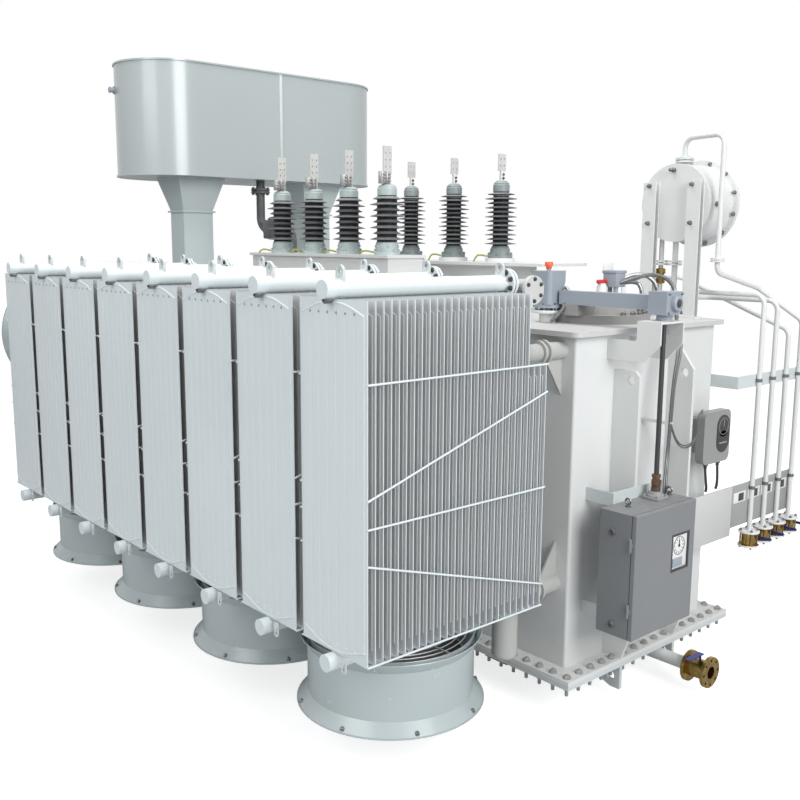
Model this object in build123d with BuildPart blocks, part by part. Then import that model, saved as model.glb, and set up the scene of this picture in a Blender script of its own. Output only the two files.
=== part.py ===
# Oil-filled three-phase power transformer with a tap changer, a radiator bank and two conservators.
# Millimetres. +X runs along the tank to the drive-cabinet end, the radiators stand on the -Y side,
# +Z is up, and the origin is on the floor under the middle of the tank.
import os
from math import sqrt

from build123d import *

os.makedirs("parts", exist_ok=True)

# Running and seating gaps
SEAT = 0.3
RUN_GAP = 0.3
SWING_GAP = 5.0

# Tank
TANK_LENGTH = 4700.0
TANK_WIDTH = 1490.0
WALL_HEIGHT = 2035.0
TANK_CORNER = 18.0
FLANGE_INSIDE = 60.0
BEARER_HEIGHT = 215.0
BEARER_WIDTH = 200.0
BEARER_LENGTH = 1100.0
BEARER_PITCH = 1600.0
BEARER_COUNT = 3
FLOOR_THICK = 30.0
FLANGE_THICK = 25.0
FLANGE_OVERHANG = 140.0
COVER_THICK = 30.0
COVER_OVERHANG = 55.0
RIB_THICK = 25.0
RIB_DEPTH = 185.0
RIB_LOW_Y = -362.0
RIB_HIGH_Y = 217.0
RIB_LOW_DROP = 215.0
RIB_HIGH_DROP = 50.0
RIB_SLOPE_DROP = 250.0
RIB_CHAMFER = 35.0
RIB_FOOT_WIDEN = 45.0
RIB_FOOT_HEIGHT = 130.0
LIFT_HOLE_R = 28.0
LIFT_HOLE_DROP = 275.0
LIFT_HOLE_OUT = 122.0
HAUL_PLATE_LENGTH = 380.0
HAUL_PLATE_DROP = 150.0
HAUL_HOLE_R = 30.0
HAUL_TAPER = 70.0

# Radiator bank
RADIATOR_COUNT = 8
RADIATOR_PITCH = 586.0
RADIATOR_END_INSET = 109.0
PANEL_WIDTH = 520.0
PANEL_THICK = 12.0
PANEL_SEAM_THICK = 4.0
PANEL_SEAM_WIDTH = 22.0
CHANNEL_COUNT = 7
CHANNEL_GROOVE_WIDTH = 16.0
CHANNEL_GROOVE_DEPTH = 3.0
PANEL_ARCH_DROP = 72.0
PANEL_ARCH_CROWN = 12.0
PANEL_PITCH = 47.7
TALL_PANELS = 24
SHORT_PANELS = 3
BANK_REACH = 1688.0
PANEL_FOOT_Z = 835.0
PANEL_SHORTFALL = 293.0
SHORT_PANEL_DROP = 373.0
HEADER_R = 44.5
HEADER_NOSE = 55.0
HEADER_FLANGE_R = 80.0
HEADER_FLANGE_THICK = 16.0
HEADER_FLANGE_PITCH = 24.0
HEADER_FLANGE_BACK = 44.0
TIE_R = 5.5
TIE_SHARES = ((0.0, 0.0), (0.37, 0.09), (0.5, 0.5), (0.6, 0.89), (1.0, 1.0))
COLLECTOR_R = 57.0
COLLECTOR_END = 85.0
UPPER_COLLECTOR_DROP = 37.0
COLLECTOR_FLANGE_R = 80.0
COLLECTOR_FLANGE_THICK = 20.0
STUB_R = 52.0
UPPER_STUB_DROP = 365.0
STUB_BEND_R = 90.0
VALVE_FLANGE_R = 70.0
VALVE_FLANGE_THICK = 16.0
VALVE_LENGTH = 46.0
VALVE_WALL_OFFSET = 220.0
GUSSET_THICK = 12.0
GUSSET_SINK = 7.0
GUSSET_LENGTH = 150.0
GUSSET_HEIGHT = 220.0
SUMP_R = 76.0
SUMP_INSET = 51.0
SUMP_DROP = 330.0
SUMP_EDGE = 30.0

# Fans under the radiators and one at the far end of the bank
FAN_COUNT = 4
FAN_R = 470.0
FAN_WALL = 6.0
FAN_LIP_R = 531.0
FAN_LIP_THICK = 8.0
FAN_FLARE = 70.0
FAN_DEPTH = 397.0
FAN_HANGER_WIDTH = 40.0
FAN_HEADER_GAP = 45.0
MOTOR_R = 95.0
MOTOR_LENGTH = 150.0
MOTOR_SHAFT_R = 19.0
MOTOR_SHAFT_LENGTH = 120.0
ARM_COUNT = 4
ARM_WIDTH = 40.0
ARM_THICK = 12.0
HUB_R = 88.0
HUB_LENGTH = 90.0
BLADE_COUNT = 5
BLADE_TIP_R = 448.0
BLADE_ROOT_CHORD = 130.0
BLADE_TIP_CHORD = 190.0
BLADE_THICK = 7.0
BLADE_ROOT_ANGLE = 38.0
BLADE_TIP_ANGLE = 24.0
BLADE_SINK = 6.0
END_FAN_DROP = 537.0

# Main conservator
CONSERVATOR_INSET = 92.0
CONSERVATOR_WIDTH = 942.0
CONSERVATOR_LENGTH = 2634.0
CONSERVATOR_LIFT = 1070.0
CONSERVATOR_HEIGHT = 968.0
CONSERVATOR_RIM = 14.0
CONSERVATOR_RIM_OUT = 10.0
PEDESTAL_EDGE = 70.0
PEDESTAL_WIDTH = 300.0
PEDESTAL_DEPTH = 240.0
PEDESTAL_HEIGHT = 765.0
PEDESTAL_PLATE = 16.0
PEDESTAL_PLATE_OUT = 40.0
PEDESTAL_HEAD_WIDTH = 470.0
PEDESTAL_HEAD_DEPTH = 420.0
PEDESTAL_INSET = 135.0
RELAY_PIPE_R = 40.0
RELAY_PIPE_Y = -60.0
RELAY_FAR_INSET = 350.0
RELAY_NEAR_INSET = 870.0
RELAY_PIPE_LIFT = 625.0
RELAY_BEND_R = 110.0
RELAY_R = 75.0
RELAY_LENGTH = 200.0
RELAY_FLANGE_R = 85.0
RELAY_FLANGE_THICK = 18.0

# Bushing turrets and bushings
LV_COUNT = 4
LV_PITCH = 460.0
LV_FIRST_X = -1090.0
LV_Y = -433.0
LV_BOX_LENGTH = 1800.0
LV_BOX_WIDTH = 340.0
LV_BOX_HEIGHT = 390.0
LV_SHED_R = 108.0
LV_CORE_R = 76.0
LV_SHED_HEIGHT = 340.0
LV_SHED_COUNT = 8
HV_COUNT = 3
HV_PITCH = 526.0
HV_FIRST_X = -443.0
HV_Y = 467.0
HV_BOX_LENGTH = 1560.0
HV_BOX_WIDTH = 300.0
HV_BOX_HEIGHT = 335.0
HV_SHED_R = 125.0
HV_CORE_R = 60.0
HV_SHED_HEIGHT = 415.0
HV_SHED_COUNT = 12
TURRET_PLATE = 22.0
LV_PLATE_OUT = (20.0, 20.0)
HV_PLATE_OUT = (400.0, 110.0)
HV_COLLAR_R = 118.0
HV_COLLAR_HEIGHT = 30.0
SHED_STEP = 16.0
SHED_UNDERSIDE_SHARE = 0.35
BUSHING_BASE_R = 98.0
BUSHING_CONE_R = 86.0
BUSHING_BASE_HEIGHT = 95.0
BUSHING_FOOT_THICK = 25.0
BUSHING_CAP_R = 68.0
BUSHING_CAP_HEIGHT = 85.0
PALM_THICK = 12.0
LV_PALM_WIDTH = 80.0
LV_PALM_HEIGHT = 200.0
HV_PALM_WIDTH = 80.0
HV_PALM_HEIGHT = 130.0
PALM_HOLE_R = 7.0
PALM_HOLE_COLUMNS = 2
LV_HOLE_ROWS = 3
HV_HOLE_ROWS = 2
PALM_HOLE_X = 40.0
PALM_HOLE_Z = 50.0
LV_CLAMP_R = 30.0
HV_CLAMP_R = 17.0
CLAMP_HEIGHT = 75.0

# Tap changer, its drive and its relief valve
HEAD_INSET = 429.0
HEAD_Y = 27.0
HEAD_RING_R = 330.0
HEAD_RING_HEIGHT = 55.0
HEAD_DOME_R = 250.0
HEAD_DOME_HEIGHT = 60.0
HEAD_DOME_TAPER = 30.0
HEAD_GEAR_LENGTH = 110.0
HEAD_GEAR_WIDTH = 190.0
HEAD_GEAR_SHIFT = 47.5
DRIVE_OUT = 286.0
DRIVE_Y = -303.0
GUARD_WIDTH = 86.0
GUARD_WALL = 5.0
GUARD_LIFT = 165.0
GUARD_BACK = 38.0
GEARBOX_LENGTH = 136.0
GEARBOX_WIDTH = 154.0
GEARBOX_HEIGHT = 135.0
GEARBOX_EDGE = 6.0
GEARBOX_BOSS_R = 48.0
GEARBOX_BOSS = 14.0
GEARBOX_NECK_R = 46.0
BRACKET_LOW_SIDE = 145.0
BRACKET_HIGH_SIDE = 83.0
BRACKET_THICK = 12.0
BRACKET_REACH = 366.0
BRACKET_FOOT_DROP = 175.0
BRACKET_SHELF_LIFT = 62.0
BRACKET_ARM_DROP = 57.0
BRACKET_SHELF_LENGTH = 160.0
BRACKET_CHAMFER = 105.0
SHAFT_R = 15.0
SHAFT_HOLE_R = 36.0
COUPLING_R = 26.0
COUPLING_LENGTH = 80.0
SHAFT_FOOT_R = 52.0
SHAFT_FOOT_THICK = 24.0
CABINET_WIDTH = 606.0
CABINET_SIDE = 19.0
CABINET_DEPTH = 218.0
CABINET_HEIGHT = 740.0
CABINET_FOOT_Z = 586.0
DOOR_THICK = 28.0
DOOR_EDGE = 4.0
WINDOW_WIDTH = 185.0
WINDOW_HEIGHT = 230.0
WINDOW_DEPTH = 10.0
WINDOW_SIDE = 148.0
WINDOW_LIFT = 444.0
HINGE_R = 9.0
HINGE_PIN_R = 5.0
HINGE_KNUCKLE = 26.0
HINGE_END = 175.0
RAIL_THICK = 17.0
RAIL_HEIGHT = 80.0
RAIL_SIDE = 20.0
RAIL_INSET = 120.0
RAIL_ARM_THICK = 12.0
RAIL_FOOT_LIFT = 14.0
RAIL_TOP_DROP = 14.0
RELIEF_INSET = 569.0
RELIEF_Y = -333.0
RELIEF_NECK_R = 50.0
RELIEF_NECK_HEIGHT = 95.0
RELIEF_FLANGE_R = 95.0
RELIEF_FLANGE_THICK = 20.0
RELIEF_BODY = 165.0
RELIEF_CORNER = 28.0
RELIEF_BODY_HEIGHT = 215.0
RELIEF_BOX = 80.0
RELIEF_PIN_R = 14.0
RELIEF_PIN_HEIGHT = 30.0

# Tap changer conservator
SMALL_TANK_INSET = 360.0
SMALL_TANK_LIFT = 785.0
SMALL_TANK_R = 267.0
SMALL_TANK_LENGTH = 330.0
SMALL_FLANGE_R = 302.0
SMALL_FLANGE_THICK = 30.0
POST_WIDTH = 100.0
POST_DEPTH = 50.0
POST_WALL = 8.0
POST_SPREAD = 350.0
POST_TOP_OVER = 142.0
POST_FOOT = 12.0
POST_FOOT_OUT = 20.0

# Oil pipes, their supports and valves
PIPE_R = 17.0
PIPE_BEND_R = 70.0
PIPE_COUNT = 4
PIPE_OUT = 26.0
PIPE_FIRST_SIDE = 252.0
PIPE_PITCH = 187.0
PIPE_FOOT_Z = 850.0
PIPE_HIGH_LIFT = 165.0
PIPE_CROSS_DROP = 45.0
PIPE_BEND_DROP = 95.0
PIPE_SLOPE_LIFT = 255.0
PIPE_COVER_INSET = 105.0
PIPE_FAR_BACK = 325.0
LOOP_OVER = 440.0
LOOP_OUT = 340.0
LOOP_SIDE = 15.0
LOOP_START = 95.0
LOOP_KNEE_LIFT = 315.0
LOOP_CREST_LIFT = 195.0
LOOP_CREST_SIDE = 585.0
LOOP_BEND_DROP = 35.0
LOOP_FLANGE_R = 46.0
LOOP_FLANGE_THICK = 12.0
LOOP_FLANGE_PITCH = 15.0
LOOP_FLANGE_LIFT = 70.0
SUPPORT_THICK = 12.0
SUPPORT_HEIGHT = 84.0
SUPPORT_DROP = 460.0
SUPPORT_ROOT = 300.0
SUPPORT_END = 85.0
PLATE_FOOT_Z = 905.0
PLATE_HEIGHT = 297.0
SMALL_VALVE_FLANGE_R = 70.0
SMALL_VALVE_FLANGE = 12.0
SMALL_VALVE_R = 48.0
SMALL_VALVE_LENGTH = 110.0
LEVER_LENGTH = 140.0
LEVER_WIDTH = 20.0
LEVER_THICK = 6.0
LEVER_STEM_R = 7.0
LEVER_STEM = 12.0
DRAIN_LEVER_STEM = 36.0
DRAIN_LEVER_WIDTH = 40.0
DRAIN_Y = 87.0
DRAIN_Z = 165.0
DRAIN_PIPE_R = 42.0
DRAIN_PIPE_INSET = 50.0
DRAIN_VALVE_OUT = 341.0
DRAIN_VALVE_LENGTH = 160.0
DRAIN_FLANGE_R = 100.0
DRAIN_FLANGE_THICK = 22.0
DRAIN_BODY_R = 62.0
DRAIN_BORE_R = 40.0
DRAIN_HOLE_R = 9.0
DRAIN_HOLE_COUNT = 8
DRAIN_HOLE_CIRCLE_R = 80.0

# Thermometer box
GAUGE_WIDTH = 320.0
GAUGE_HEIGHT = 350.0
GAUGE_DEPTH = 60.0
GAUGE_STANDOFF = 120.0
GAUGE_EDGE = 198.0
GAUGE_FOOT_Z = 1400.0
GAUGE_CORNER = 45.0
GAUGE_BACK_WIDTH = 150.0
GAUGE_BACK_HEIGHT = 230.0

# Levels and faces that several pieces share
FLANGE_TOP_Z = BEARER_HEIGHT + FLOOR_THICK + FLANGE_THICK
WALL_TOP_Z = FLANGE_TOP_Z + WALL_HEIGHT
COVER_Z = WALL_TOP_Z + COVER_THICK
END_X = TANK_LENGTH / 2
FRONT_Y = -TANK_WIDTH / 2
BACK_Y = TANK_WIDTH / 2
RIB_FACE_X = END_X + RIB_DEPTH
RIB_LOW_TOP = WALL_TOP_Z - RIB_LOW_DROP
RIB_HIGH_TOP = WALL_TOP_Z - RIB_HIGH_DROP
LIFT_HOLE_Z = WALL_TOP_Z - LIFT_HOLE_DROP
RADIATOR_NEAR_X = END_X - RADIATOR_END_INSET
PANEL_FRONT_Y = FRONT_Y - BANK_REACH
TALL_PANEL_HEIGHT = WALL_HEIGHT - PANEL_SHORTFALL
SHORT_PANEL_HEIGHT = TALL_PANEL_HEIGHT - SHORT_PANEL_DROP
TALL_TOP_Z = PANEL_FOOT_Z + TALL_PANEL_HEIGHT
TOP_HEADER_Z = TALL_TOP_Z + SEAT + HEADER_R
LOW_HEADER_Z = PANEL_FOOT_Z - SEAT - HEADER_R
BANK_BACK_Y = PANEL_FRONT_Y + (TALL_PANELS + SHORT_PANELS - 1) * PANEL_PITCH + PANEL_THICK
COLLECTOR_Y = BANK_BACK_Y + SEAT + COLLECTOR_R
HEADER_END_Y = COLLECTOR_Y - COLLECTOR_R - SEAT
UPPER_COLLECTOR_Z = TOP_HEADER_Z - UPPER_COLLECTOR_DROP
BANK_MIDDLE_Y = (PANEL_FRONT_Y + BANK_BACK_Y) / 2
END_FAN_Z = TALL_TOP_Z - END_FAN_DROP
CONSERVATOR_X = CONSERVATOR_INSET - END_X
CONSERVATOR_FOOT_Z = COVER_Z + CONSERVATOR_LIFT
HEAD_X = END_X - HEAD_INSET
DRIVE_X = END_X + DRIVE_OUT
GUARD_Z = COVER_Z + GUARD_LIFT
BRACKET_SHELF_Z = COVER_Z + BRACKET_SHELF_LIFT
CABINET_LOW_Y = FRONT_Y + CABINET_SIDE
CABINET_TOP_Z = CABINET_FOOT_Z + CABINET_HEIGHT
SMALL_TANK_X = END_X - SMALL_TANK_INSET
SMALL_TANK_Z = COVER_Z + SMALL_TANK_LIFT
PIPE_X = RIB_FACE_X + PIPE_OUT
DRAIN_VALVE_X = END_X + DRAIN_VALVE_OUT


def keep(piece, name):
    """Label a finished piece and write it as its own STEP file."""
    piece.part.label = name
    export_step(piece.part, f"parts/{name}.step")


def radiator_x(number):
    """Middle of a radiator, counted from the far end of the bank."""
    return RADIATOR_NEAR_X - RADIATOR_PITCH * (RADIATOR_COUNT - number)


def build_tank():
    """Tank with bent corners, a bolting flange and lifting ribs on both ends.

    The tank is one solid, because core, windings and oil fill it. Flange bars and ribs are separate solids
    with a hairline gap where they are welded.
    """
    flange_z = BEARER_HEIGHT + FLOOR_THICK
    bar_width = FLANGE_OVERHANG + FLANGE_INSIDE
    inner_length = TANK_LENGTH - 2 * FLANGE_INSIDE
    inner_width = TANK_WIDTH - 2 * FLANGE_INSIDE
    with BuildPart() as tank_body:
        with BuildSketch(Plane.XY.offset(flange_z)):
            Rectangle(inner_length + 2 * bar_width, inner_width + 2 * bar_width)
            Rectangle(inner_length, inner_width, mode=Mode.SUBTRACT)
            with GridLocations(0, inner_width, 1, 2):
                Rectangle(2 * TANK_LENGTH, SEAT, mode=Mode.SUBTRACT)
        extrude(amount=FLANGE_THICK)
        with BuildSketch(Plane.XY.offset(FLANGE_TOP_Z + SEAT)):
            RectangleRounded(TANK_LENGTH, TANK_WIDTH, TANK_CORNER)
        extrude(amount=WALL_HEIGHT - SEAT)
        for y, top, slope_foot in (
            (RIB_LOW_Y, RIB_LOW_TOP, RIB_LOW_TOP - RIB_CHAMFER),
            (RIB_HIGH_Y, RIB_HIGH_TOP, WALL_TOP_Z - RIB_SLOPE_DROP),
        ):
            slope_run = min(RIB_DEPTH - RIB_CHAMFER, top - slope_foot)
            with BuildSketch(Plane.XZ.offset(-y)):
                for side in (1, -1):
                    with BuildLine():
                        Polyline(
                            (side * (END_X + SEAT), FLANGE_TOP_Z + SEAT),
                            (side * (RIB_FACE_X - RIB_FOOT_WIDEN), FLANGE_TOP_Z + SEAT),
                            (side * RIB_FACE_X, FLANGE_TOP_Z + RIB_FOOT_HEIGHT),
                            (side * RIB_FACE_X, slope_foot),
                            (side * (RIB_FACE_X - slope_run), top),
                            (side * (END_X + SEAT), top),
                            close=True,
                        )
                    make_face()
                with Locations(*[(side * (END_X + LIFT_HOLE_OUT), LIFT_HOLE_Z) for side in (1, -1)]):
                    Circle(LIFT_HOLE_R, mode=Mode.SUBTRACT)
            extrude(amount=RIB_THICK / 2, both=True)
    keep(tank_body, "tank_body")


def build_tank_plates():
    """Bolted cover, the floor plate with its hauling plates, and the bearers under it."""
    with BuildPart() as tank_cover:
        with BuildSketch(Plane.XY.offset(WALL_TOP_Z)):
            RectangleRounded(
                TANK_LENGTH + 2 * COVER_OVERHANG, TANK_WIDTH + 2 * COVER_OVERHANG, COVER_OVERHANG
            )
        extrude(amount=COVER_THICK)
    keep(tank_cover, "tank_cover")

    edge_x = END_X + FLANGE_OVERHANG
    haul_top = BEARER_HEIGHT - SEAT
    haul_foot = BEARER_HEIGHT - HAUL_PLATE_DROP
    hole_z = BEARER_HEIGHT - HAUL_PLATE_DROP / 2
    with BuildPart() as tank_floor:
        with BuildSketch(Plane.XY.offset(BEARER_HEIGHT)):
            Rectangle(TANK_LENGTH + 2 * FLANGE_OVERHANG, TANK_WIDTH + 2 * FLANGE_OVERHANG)
        extrude(amount=FLOOR_THICK)
        for y in (RIB_LOW_Y, RIB_HIGH_Y):
            with BuildSketch(Plane.XZ.offset(-y)):
                for side in (1, -1):
                    with BuildLine():
                        Polyline(
                            (side * edge_x, haul_top),
                            (side * edge_x, haul_foot),
                            (side * (edge_x - HAUL_TAPER), haul_foot),
                            (side * (edge_x - HAUL_PLATE_LENGTH), haul_top - FLOOR_THICK),
                            (side * (edge_x - HAUL_PLATE_LENGTH), haul_top),
                            close=True,
                        )
                    make_face()
                with Locations(*[(side * (edge_x - HAUL_TAPER), hole_z) for side in (1, -1)]):
                    Circle(HAUL_HOLE_R, mode=Mode.SUBTRACT)
            extrude(amount=RIB_THICK / 2, both=True)
    keep(tank_floor, "tank_floor")

    with BuildPart() as base_bearers:
        with BuildSketch(Plane.XY):
            with GridLocations(BEARER_PITCH, 0, BEARER_COUNT, 1):
                Rectangle(BEARER_WIDTH, BEARER_LENGTH)
        extrude(amount=BEARER_HEIGHT)
    keep(base_bearers, "base_bearers")


def panel_plan(half):
    """Plan of the pressed part of a panel: full depth over each oil channel, and a groove between two."""
    depth = PANEL_THICK / 2
    pitch = 2 * half / CHANNEL_COUNT
    front = [(-half, -depth)]
    for seam in range(1, CHANNEL_COUNT):
        x = seam * pitch - half
        front += [
            (x - CHANNEL_GROOVE_WIDTH / 2, -depth),
            (x, CHANNEL_GROOVE_DEPTH - depth),
            (x + CHANNEL_GROOVE_WIDTH / 2, -depth),
        ]
    front.append((half, -depth))
    return front + [(x, -y) for x, y in reversed(front)]


def pressed_panel(height):
    """Radiator panel on the origin: a flat welded rim round pressed oil channels with arched ends."""
    half = PANEL_WIDTH / 2 - PANEL_SEAM_WIDTH
    with BuildPart() as panel:
        with BuildSketch(Plane.XY):
            with BuildLine():
                Polyline(*panel_plan(half), close=True)
            make_face()
        extrude(amount=height)
        with BuildSketch(Plane.XZ):
            with BuildLine():
                ThreePointArc((-half, PANEL_ARCH_DROP), (0, PANEL_ARCH_CROWN), (half, PANEL_ARCH_DROP))
                Line((half, PANEL_ARCH_DROP), (half, height - PANEL_ARCH_DROP))
                ThreePointArc(
                    (half, height - PANEL_ARCH_DROP),
                    (0, height - PANEL_ARCH_CROWN),
                    (-half, height - PANEL_ARCH_DROP),
                )
                Line((-half, height - PANEL_ARCH_DROP), (-half, PANEL_ARCH_DROP))
            make_face()
        extrude(amount=PANEL_THICK, both=True, mode=Mode.INTERSECT)
        with BuildSketch(Plane.XY):
            Rectangle(PANEL_WIDTH, PANEL_SEAM_THICK)
        extrude(amount=height)
    return panel.part


def header_pipes():
    """Top and bottom header pipes of a radiator, the top one with a pair of flanges at its back end."""
    with BuildSketch(Plane.XZ.offset(-HEADER_END_Y)) as profile:
        with Locations((0, TOP_HEADER_Z), (0, LOW_HEADER_Z)):
            Circle(HEADER_R)
    extrude(profile.sketch, amount=HEADER_END_Y - (PANEL_FRONT_Y - HEADER_NOSE))
    back_y = HEADER_END_Y - HEADER_FLANGE_BACK
    for y in (back_y, back_y - HEADER_FLANGE_PITCH):
        with BuildSketch(Plane.XZ.offset(-y)) as profile:
            with Locations((0, TOP_HEADER_Z)):
                Circle(HEADER_FLANGE_R)
        extrude(profile.sketch, amount=HEADER_FLANGE_THICK)


def tie_rods():
    """Rods down both sides of a radiator that hold the panels' edges at their pitch."""
    side_x = PANEL_WIDTH / 2 + SEAT + TIE_R
    span = SHORT_PANEL_HEIGHT - 2 * TIE_R
    for front, back in TIE_SHARES:
        for x in (-side_x, side_x):
            start = Vector(x, PANEL_FRONT_Y, PANEL_FOOT_Z + TIE_R + front * span)
            end = Vector(x, BANK_BACK_Y, PANEL_FOOT_Z + TIE_R + back * span)
            with BuildSketch(Plane(start, x_dir=(1, 0, 0), z_dir=end - start)) as profile:
                Circle(TIE_R)
            extrude(profile.sketch, amount=(end - start).length)


def build_radiators():
    """Eight like radiators: a stack of pressed panels between a top and a bottom header pipe."""
    first_y = PANEL_FRONT_Y + PANEL_THICK / 2
    with BuildPart() as stack:
        for height, rows in (
            (TALL_PANEL_HEIGHT, range(TALL_PANELS)),
            (SHORT_PANEL_HEIGHT, range(TALL_PANELS, TALL_PANELS + SHORT_PANELS)),
        ):
            panel = pressed_panel(height)
            with Locations(*[(0, first_y + row * PANEL_PITCH, PANEL_FOOT_Z) for row in rows]):
                add(panel)
        header_pipes()
        tie_rods()
    for number in range(1, RADIATOR_COUNT + 1):
        with BuildPart() as radiator:
            with Locations((radiator_x(number), 0, 0)):
                add(stack.part)
        keep(radiator, f"radiator_{number}")


def collector_pipe(z, end_r):
    """Pipe along the back of the bank that gathers the header pipes, closed by a disc at each end."""
    low_x = radiator_x(1) - COLLECTOR_END
    high_x = radiator_x(RADIATOR_COUNT) + COLLECTOR_END
    with BuildSketch(Plane.YZ.offset(low_x)) as profile:
        with Locations((COLLECTOR_Y, z)):
            Circle(COLLECTOR_R)
    extrude(profile.sketch, amount=high_x - low_x)
    for end_x in (low_x - COLLECTOR_FLANGE_THICK, high_x):
        with BuildSketch(Plane.YZ.offset(end_x)) as profile:
            with Locations((COLLECTOR_Y, z)):
                Circle(end_r)
        extrude(profile.sketch, amount=COLLECTOR_FLANGE_THICK)


def valve_flanges(x, z):
    """A pair of bolted discs on a stub, with the shut-off valve's body between them."""
    first_y = FRONT_Y - VALVE_WALL_OFFSET
    for y in (first_y, first_y + VALVE_LENGTH):
        with BuildSketch(Plane.XZ.offset(-y)) as profile:
            with Locations((x, z)):
                Circle(VALVE_FLANGE_R)
        extrude(profile.sketch, amount=-VALVE_FLANGE_THICK)


def gusset(x, z, way):
    """Triangular plate that steadies a stub pipe on the tank wall, above it (+1) or below it (-1)."""
    start = z + way * (STUB_R - GUSSET_SINK)
    with BuildSketch(Plane.YZ.offset(x)) as profile:
        with BuildLine():
            Polyline(
                (FRONT_Y, start),
                (FRONT_Y - GUSSET_LENGTH, start),
                (FRONT_Y, start + way * GUSSET_HEIGHT),
                close=True,
            )
        make_face()
    extrude(profile.sketch, amount=GUSSET_THICK / 2, both=True)


def sump_pipe(x):
    """Short upright pipe with a dished end that hangs under the lower collector and gathers sludge."""
    with BuildPart() as sump:
        with BuildSketch(Plane.XY.offset(LOW_HEADER_Z - COLLECTOR_R - SEAT)):
            with Locations((x, COLLECTOR_Y)):
                Circle(SUMP_R)
        extrude(amount=-SUMP_DROP)
        fillet(sump.faces().sort_by(Axis.Z)[0].edges(), SUMP_EDGE)
    add(sump.part)


def build_collectors():
    """Upper and lower oil collectors behind the bank, and the stub pipes from them to the tank wall."""
    with BuildPart() as collectors:
        collector_pipe(UPPER_COLLECTOR_Z, COLLECTOR_FLANGE_R)
        collector_pipe(LOW_HEADER_Z, COLLECTOR_R)
    keep(collectors, "oil_collectors")

    upper_stub_z = UPPER_COLLECTOR_Z - UPPER_STUB_DROP
    inner_stub = RADIATOR_COUNT // 3
    with BuildPart() as stubs:
        for number in (1, 1 + inner_stub, RADIATOR_COUNT - inner_stub, RADIATOR_COUNT):
            x = radiator_x(number)
            with BuildLine() as route:
                FilletPolyline(
                    (x, COLLECTOR_Y, UPPER_COLLECTOR_Z - COLLECTOR_R - SEAT),
                    (x, COLLECTOR_Y, upper_stub_z),
                    (x, FRONT_Y, upper_stub_z),
                    radius=STUB_BEND_R,
                )
            with BuildSketch(Plane(route.line @ 0, z_dir=route.line % 0)):
                Circle(STUB_R)
            sweep(path=route.line)
            valve_flanges(x, upper_stub_z)
            gusset(x, upper_stub_z, -1)
            with BuildSketch(Plane.XZ.offset(-FRONT_Y)):
                with Locations((x, LOW_HEADER_Z)):
                    Circle(STUB_R)
            extrude(amount=FRONT_Y - COLLECTOR_Y - COLLECTOR_R - SEAT)
            valve_flanges(x, LOW_HEADER_Z)
            gusset(x, LOW_HEADER_Z, 1)
        for x in (radiator_x(1) + SUMP_INSET, radiator_x(RADIATOR_COUNT) - SUMP_INSET):
            sump_pipe(x)
    keep(stubs, "collector_stubs")


def fan_casing(plane, reach, hangers):
    """Flared fan duct about a plane's axis, mouth at its origin, with a motor on four arms.

    The hangers stand on the rim and reach the pieces that carry the duct.
    """
    inner = FAN_R - FAN_WALL
    with BuildSketch(Plane(plane.origin, x_dir=plane.x_dir, z_dir=-plane.y_dir)) as profile:
        with BuildLine():
            Polyline(
                (inner, FAN_DEPTH),
                (FAN_R, FAN_DEPTH),
                (FAN_R, FAN_FLARE),
                (FAN_LIP_R - FAN_WALL, FAN_LIP_THICK),
                (FAN_LIP_R, FAN_LIP_THICK),
                (FAN_LIP_R, 0),
                (FAN_LIP_R - 2 * FAN_WALL, 0),
                (inner, FAN_FLARE - FAN_WALL),
                close=True,
            )
        make_face()
    revolve(profile.sketch, axis=Axis(plane.origin, plane.z_dir))
    motor_foot = FAN_DEPTH - MOTOR_LENGTH
    with BuildSketch(plane.offset(motor_foot)) as profile:
        Circle(MOTOR_R)
    extrude(profile.sketch, amount=MOTOR_LENGTH)
    with BuildSketch(plane.offset(motor_foot - MOTOR_SHAFT_LENGTH)) as profile:
        Circle(MOTOR_SHAFT_R)
    extrude(profile.sketch, amount=MOTOR_SHAFT_LENGTH)
    with BuildSketch(plane.offset(FAN_DEPTH - ARM_THICK)) as profile:
        with PolarLocations(0, ARM_COUNT, start_angle=180 / ARM_COUNT):
            with Locations(((FAN_R - FAN_WALL / 2) / 2, 0)):
                Rectangle(FAN_R - FAN_WALL / 2, ARM_WIDTH)
    extrude(profile.sketch, amount=ARM_THICK)
    with BuildSketch(plane.offset(FAN_DEPTH - FAN_HANGER_WIDTH)) as profile:
        with Locations(*hangers):
            Rectangle(FAN_HANGER_WIDTH, FAN_HANGER_WIDTH)
    extrude(profile.sketch, amount=FAN_HANGER_WIDTH + reach)


def fan_blade():
    """Blade that widens and flattens from its root in the hub to its tip."""
    with BuildPart() as blade:
        for r, chord, angle in (
            (HUB_R - BLADE_SINK, BLADE_ROOT_CHORD, BLADE_ROOT_ANGLE),
            (BLADE_TIP_R, BLADE_TIP_CHORD, BLADE_TIP_ANGLE),
        ):
            with BuildSketch(Plane.YZ.offset(r)):
                Rectangle(chord, BLADE_THICK, rotation=angle)
        loft()
    return blade.part


def fan_rotor(plane):
    """Hub with pitched blades that runs on the motor's shaft."""
    hub_top = FAN_DEPTH - MOTOR_LENGTH - SWING_GAP
    hub_middle = plane.offset(hub_top - HUB_LENGTH / 2)
    with BuildSketch(plane.offset(hub_top - HUB_LENGTH)) as profile:
        Circle(HUB_R)
    extrude(profile.sketch, amount=HUB_LENGTH)
    blade = fan_blade()
    with Locations(hub_middle):
        with PolarLocations(0, BLADE_COUNT):
            add(blade)
    with BuildSketch(plane.offset(hub_top - HUB_LENGTH)) as profile:
        Circle(MOTOR_SHAFT_R + RUN_GAP)
    extrude(profile.sketch, amount=HUB_LENGTH, mode=Mode.SUBTRACT)


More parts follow.
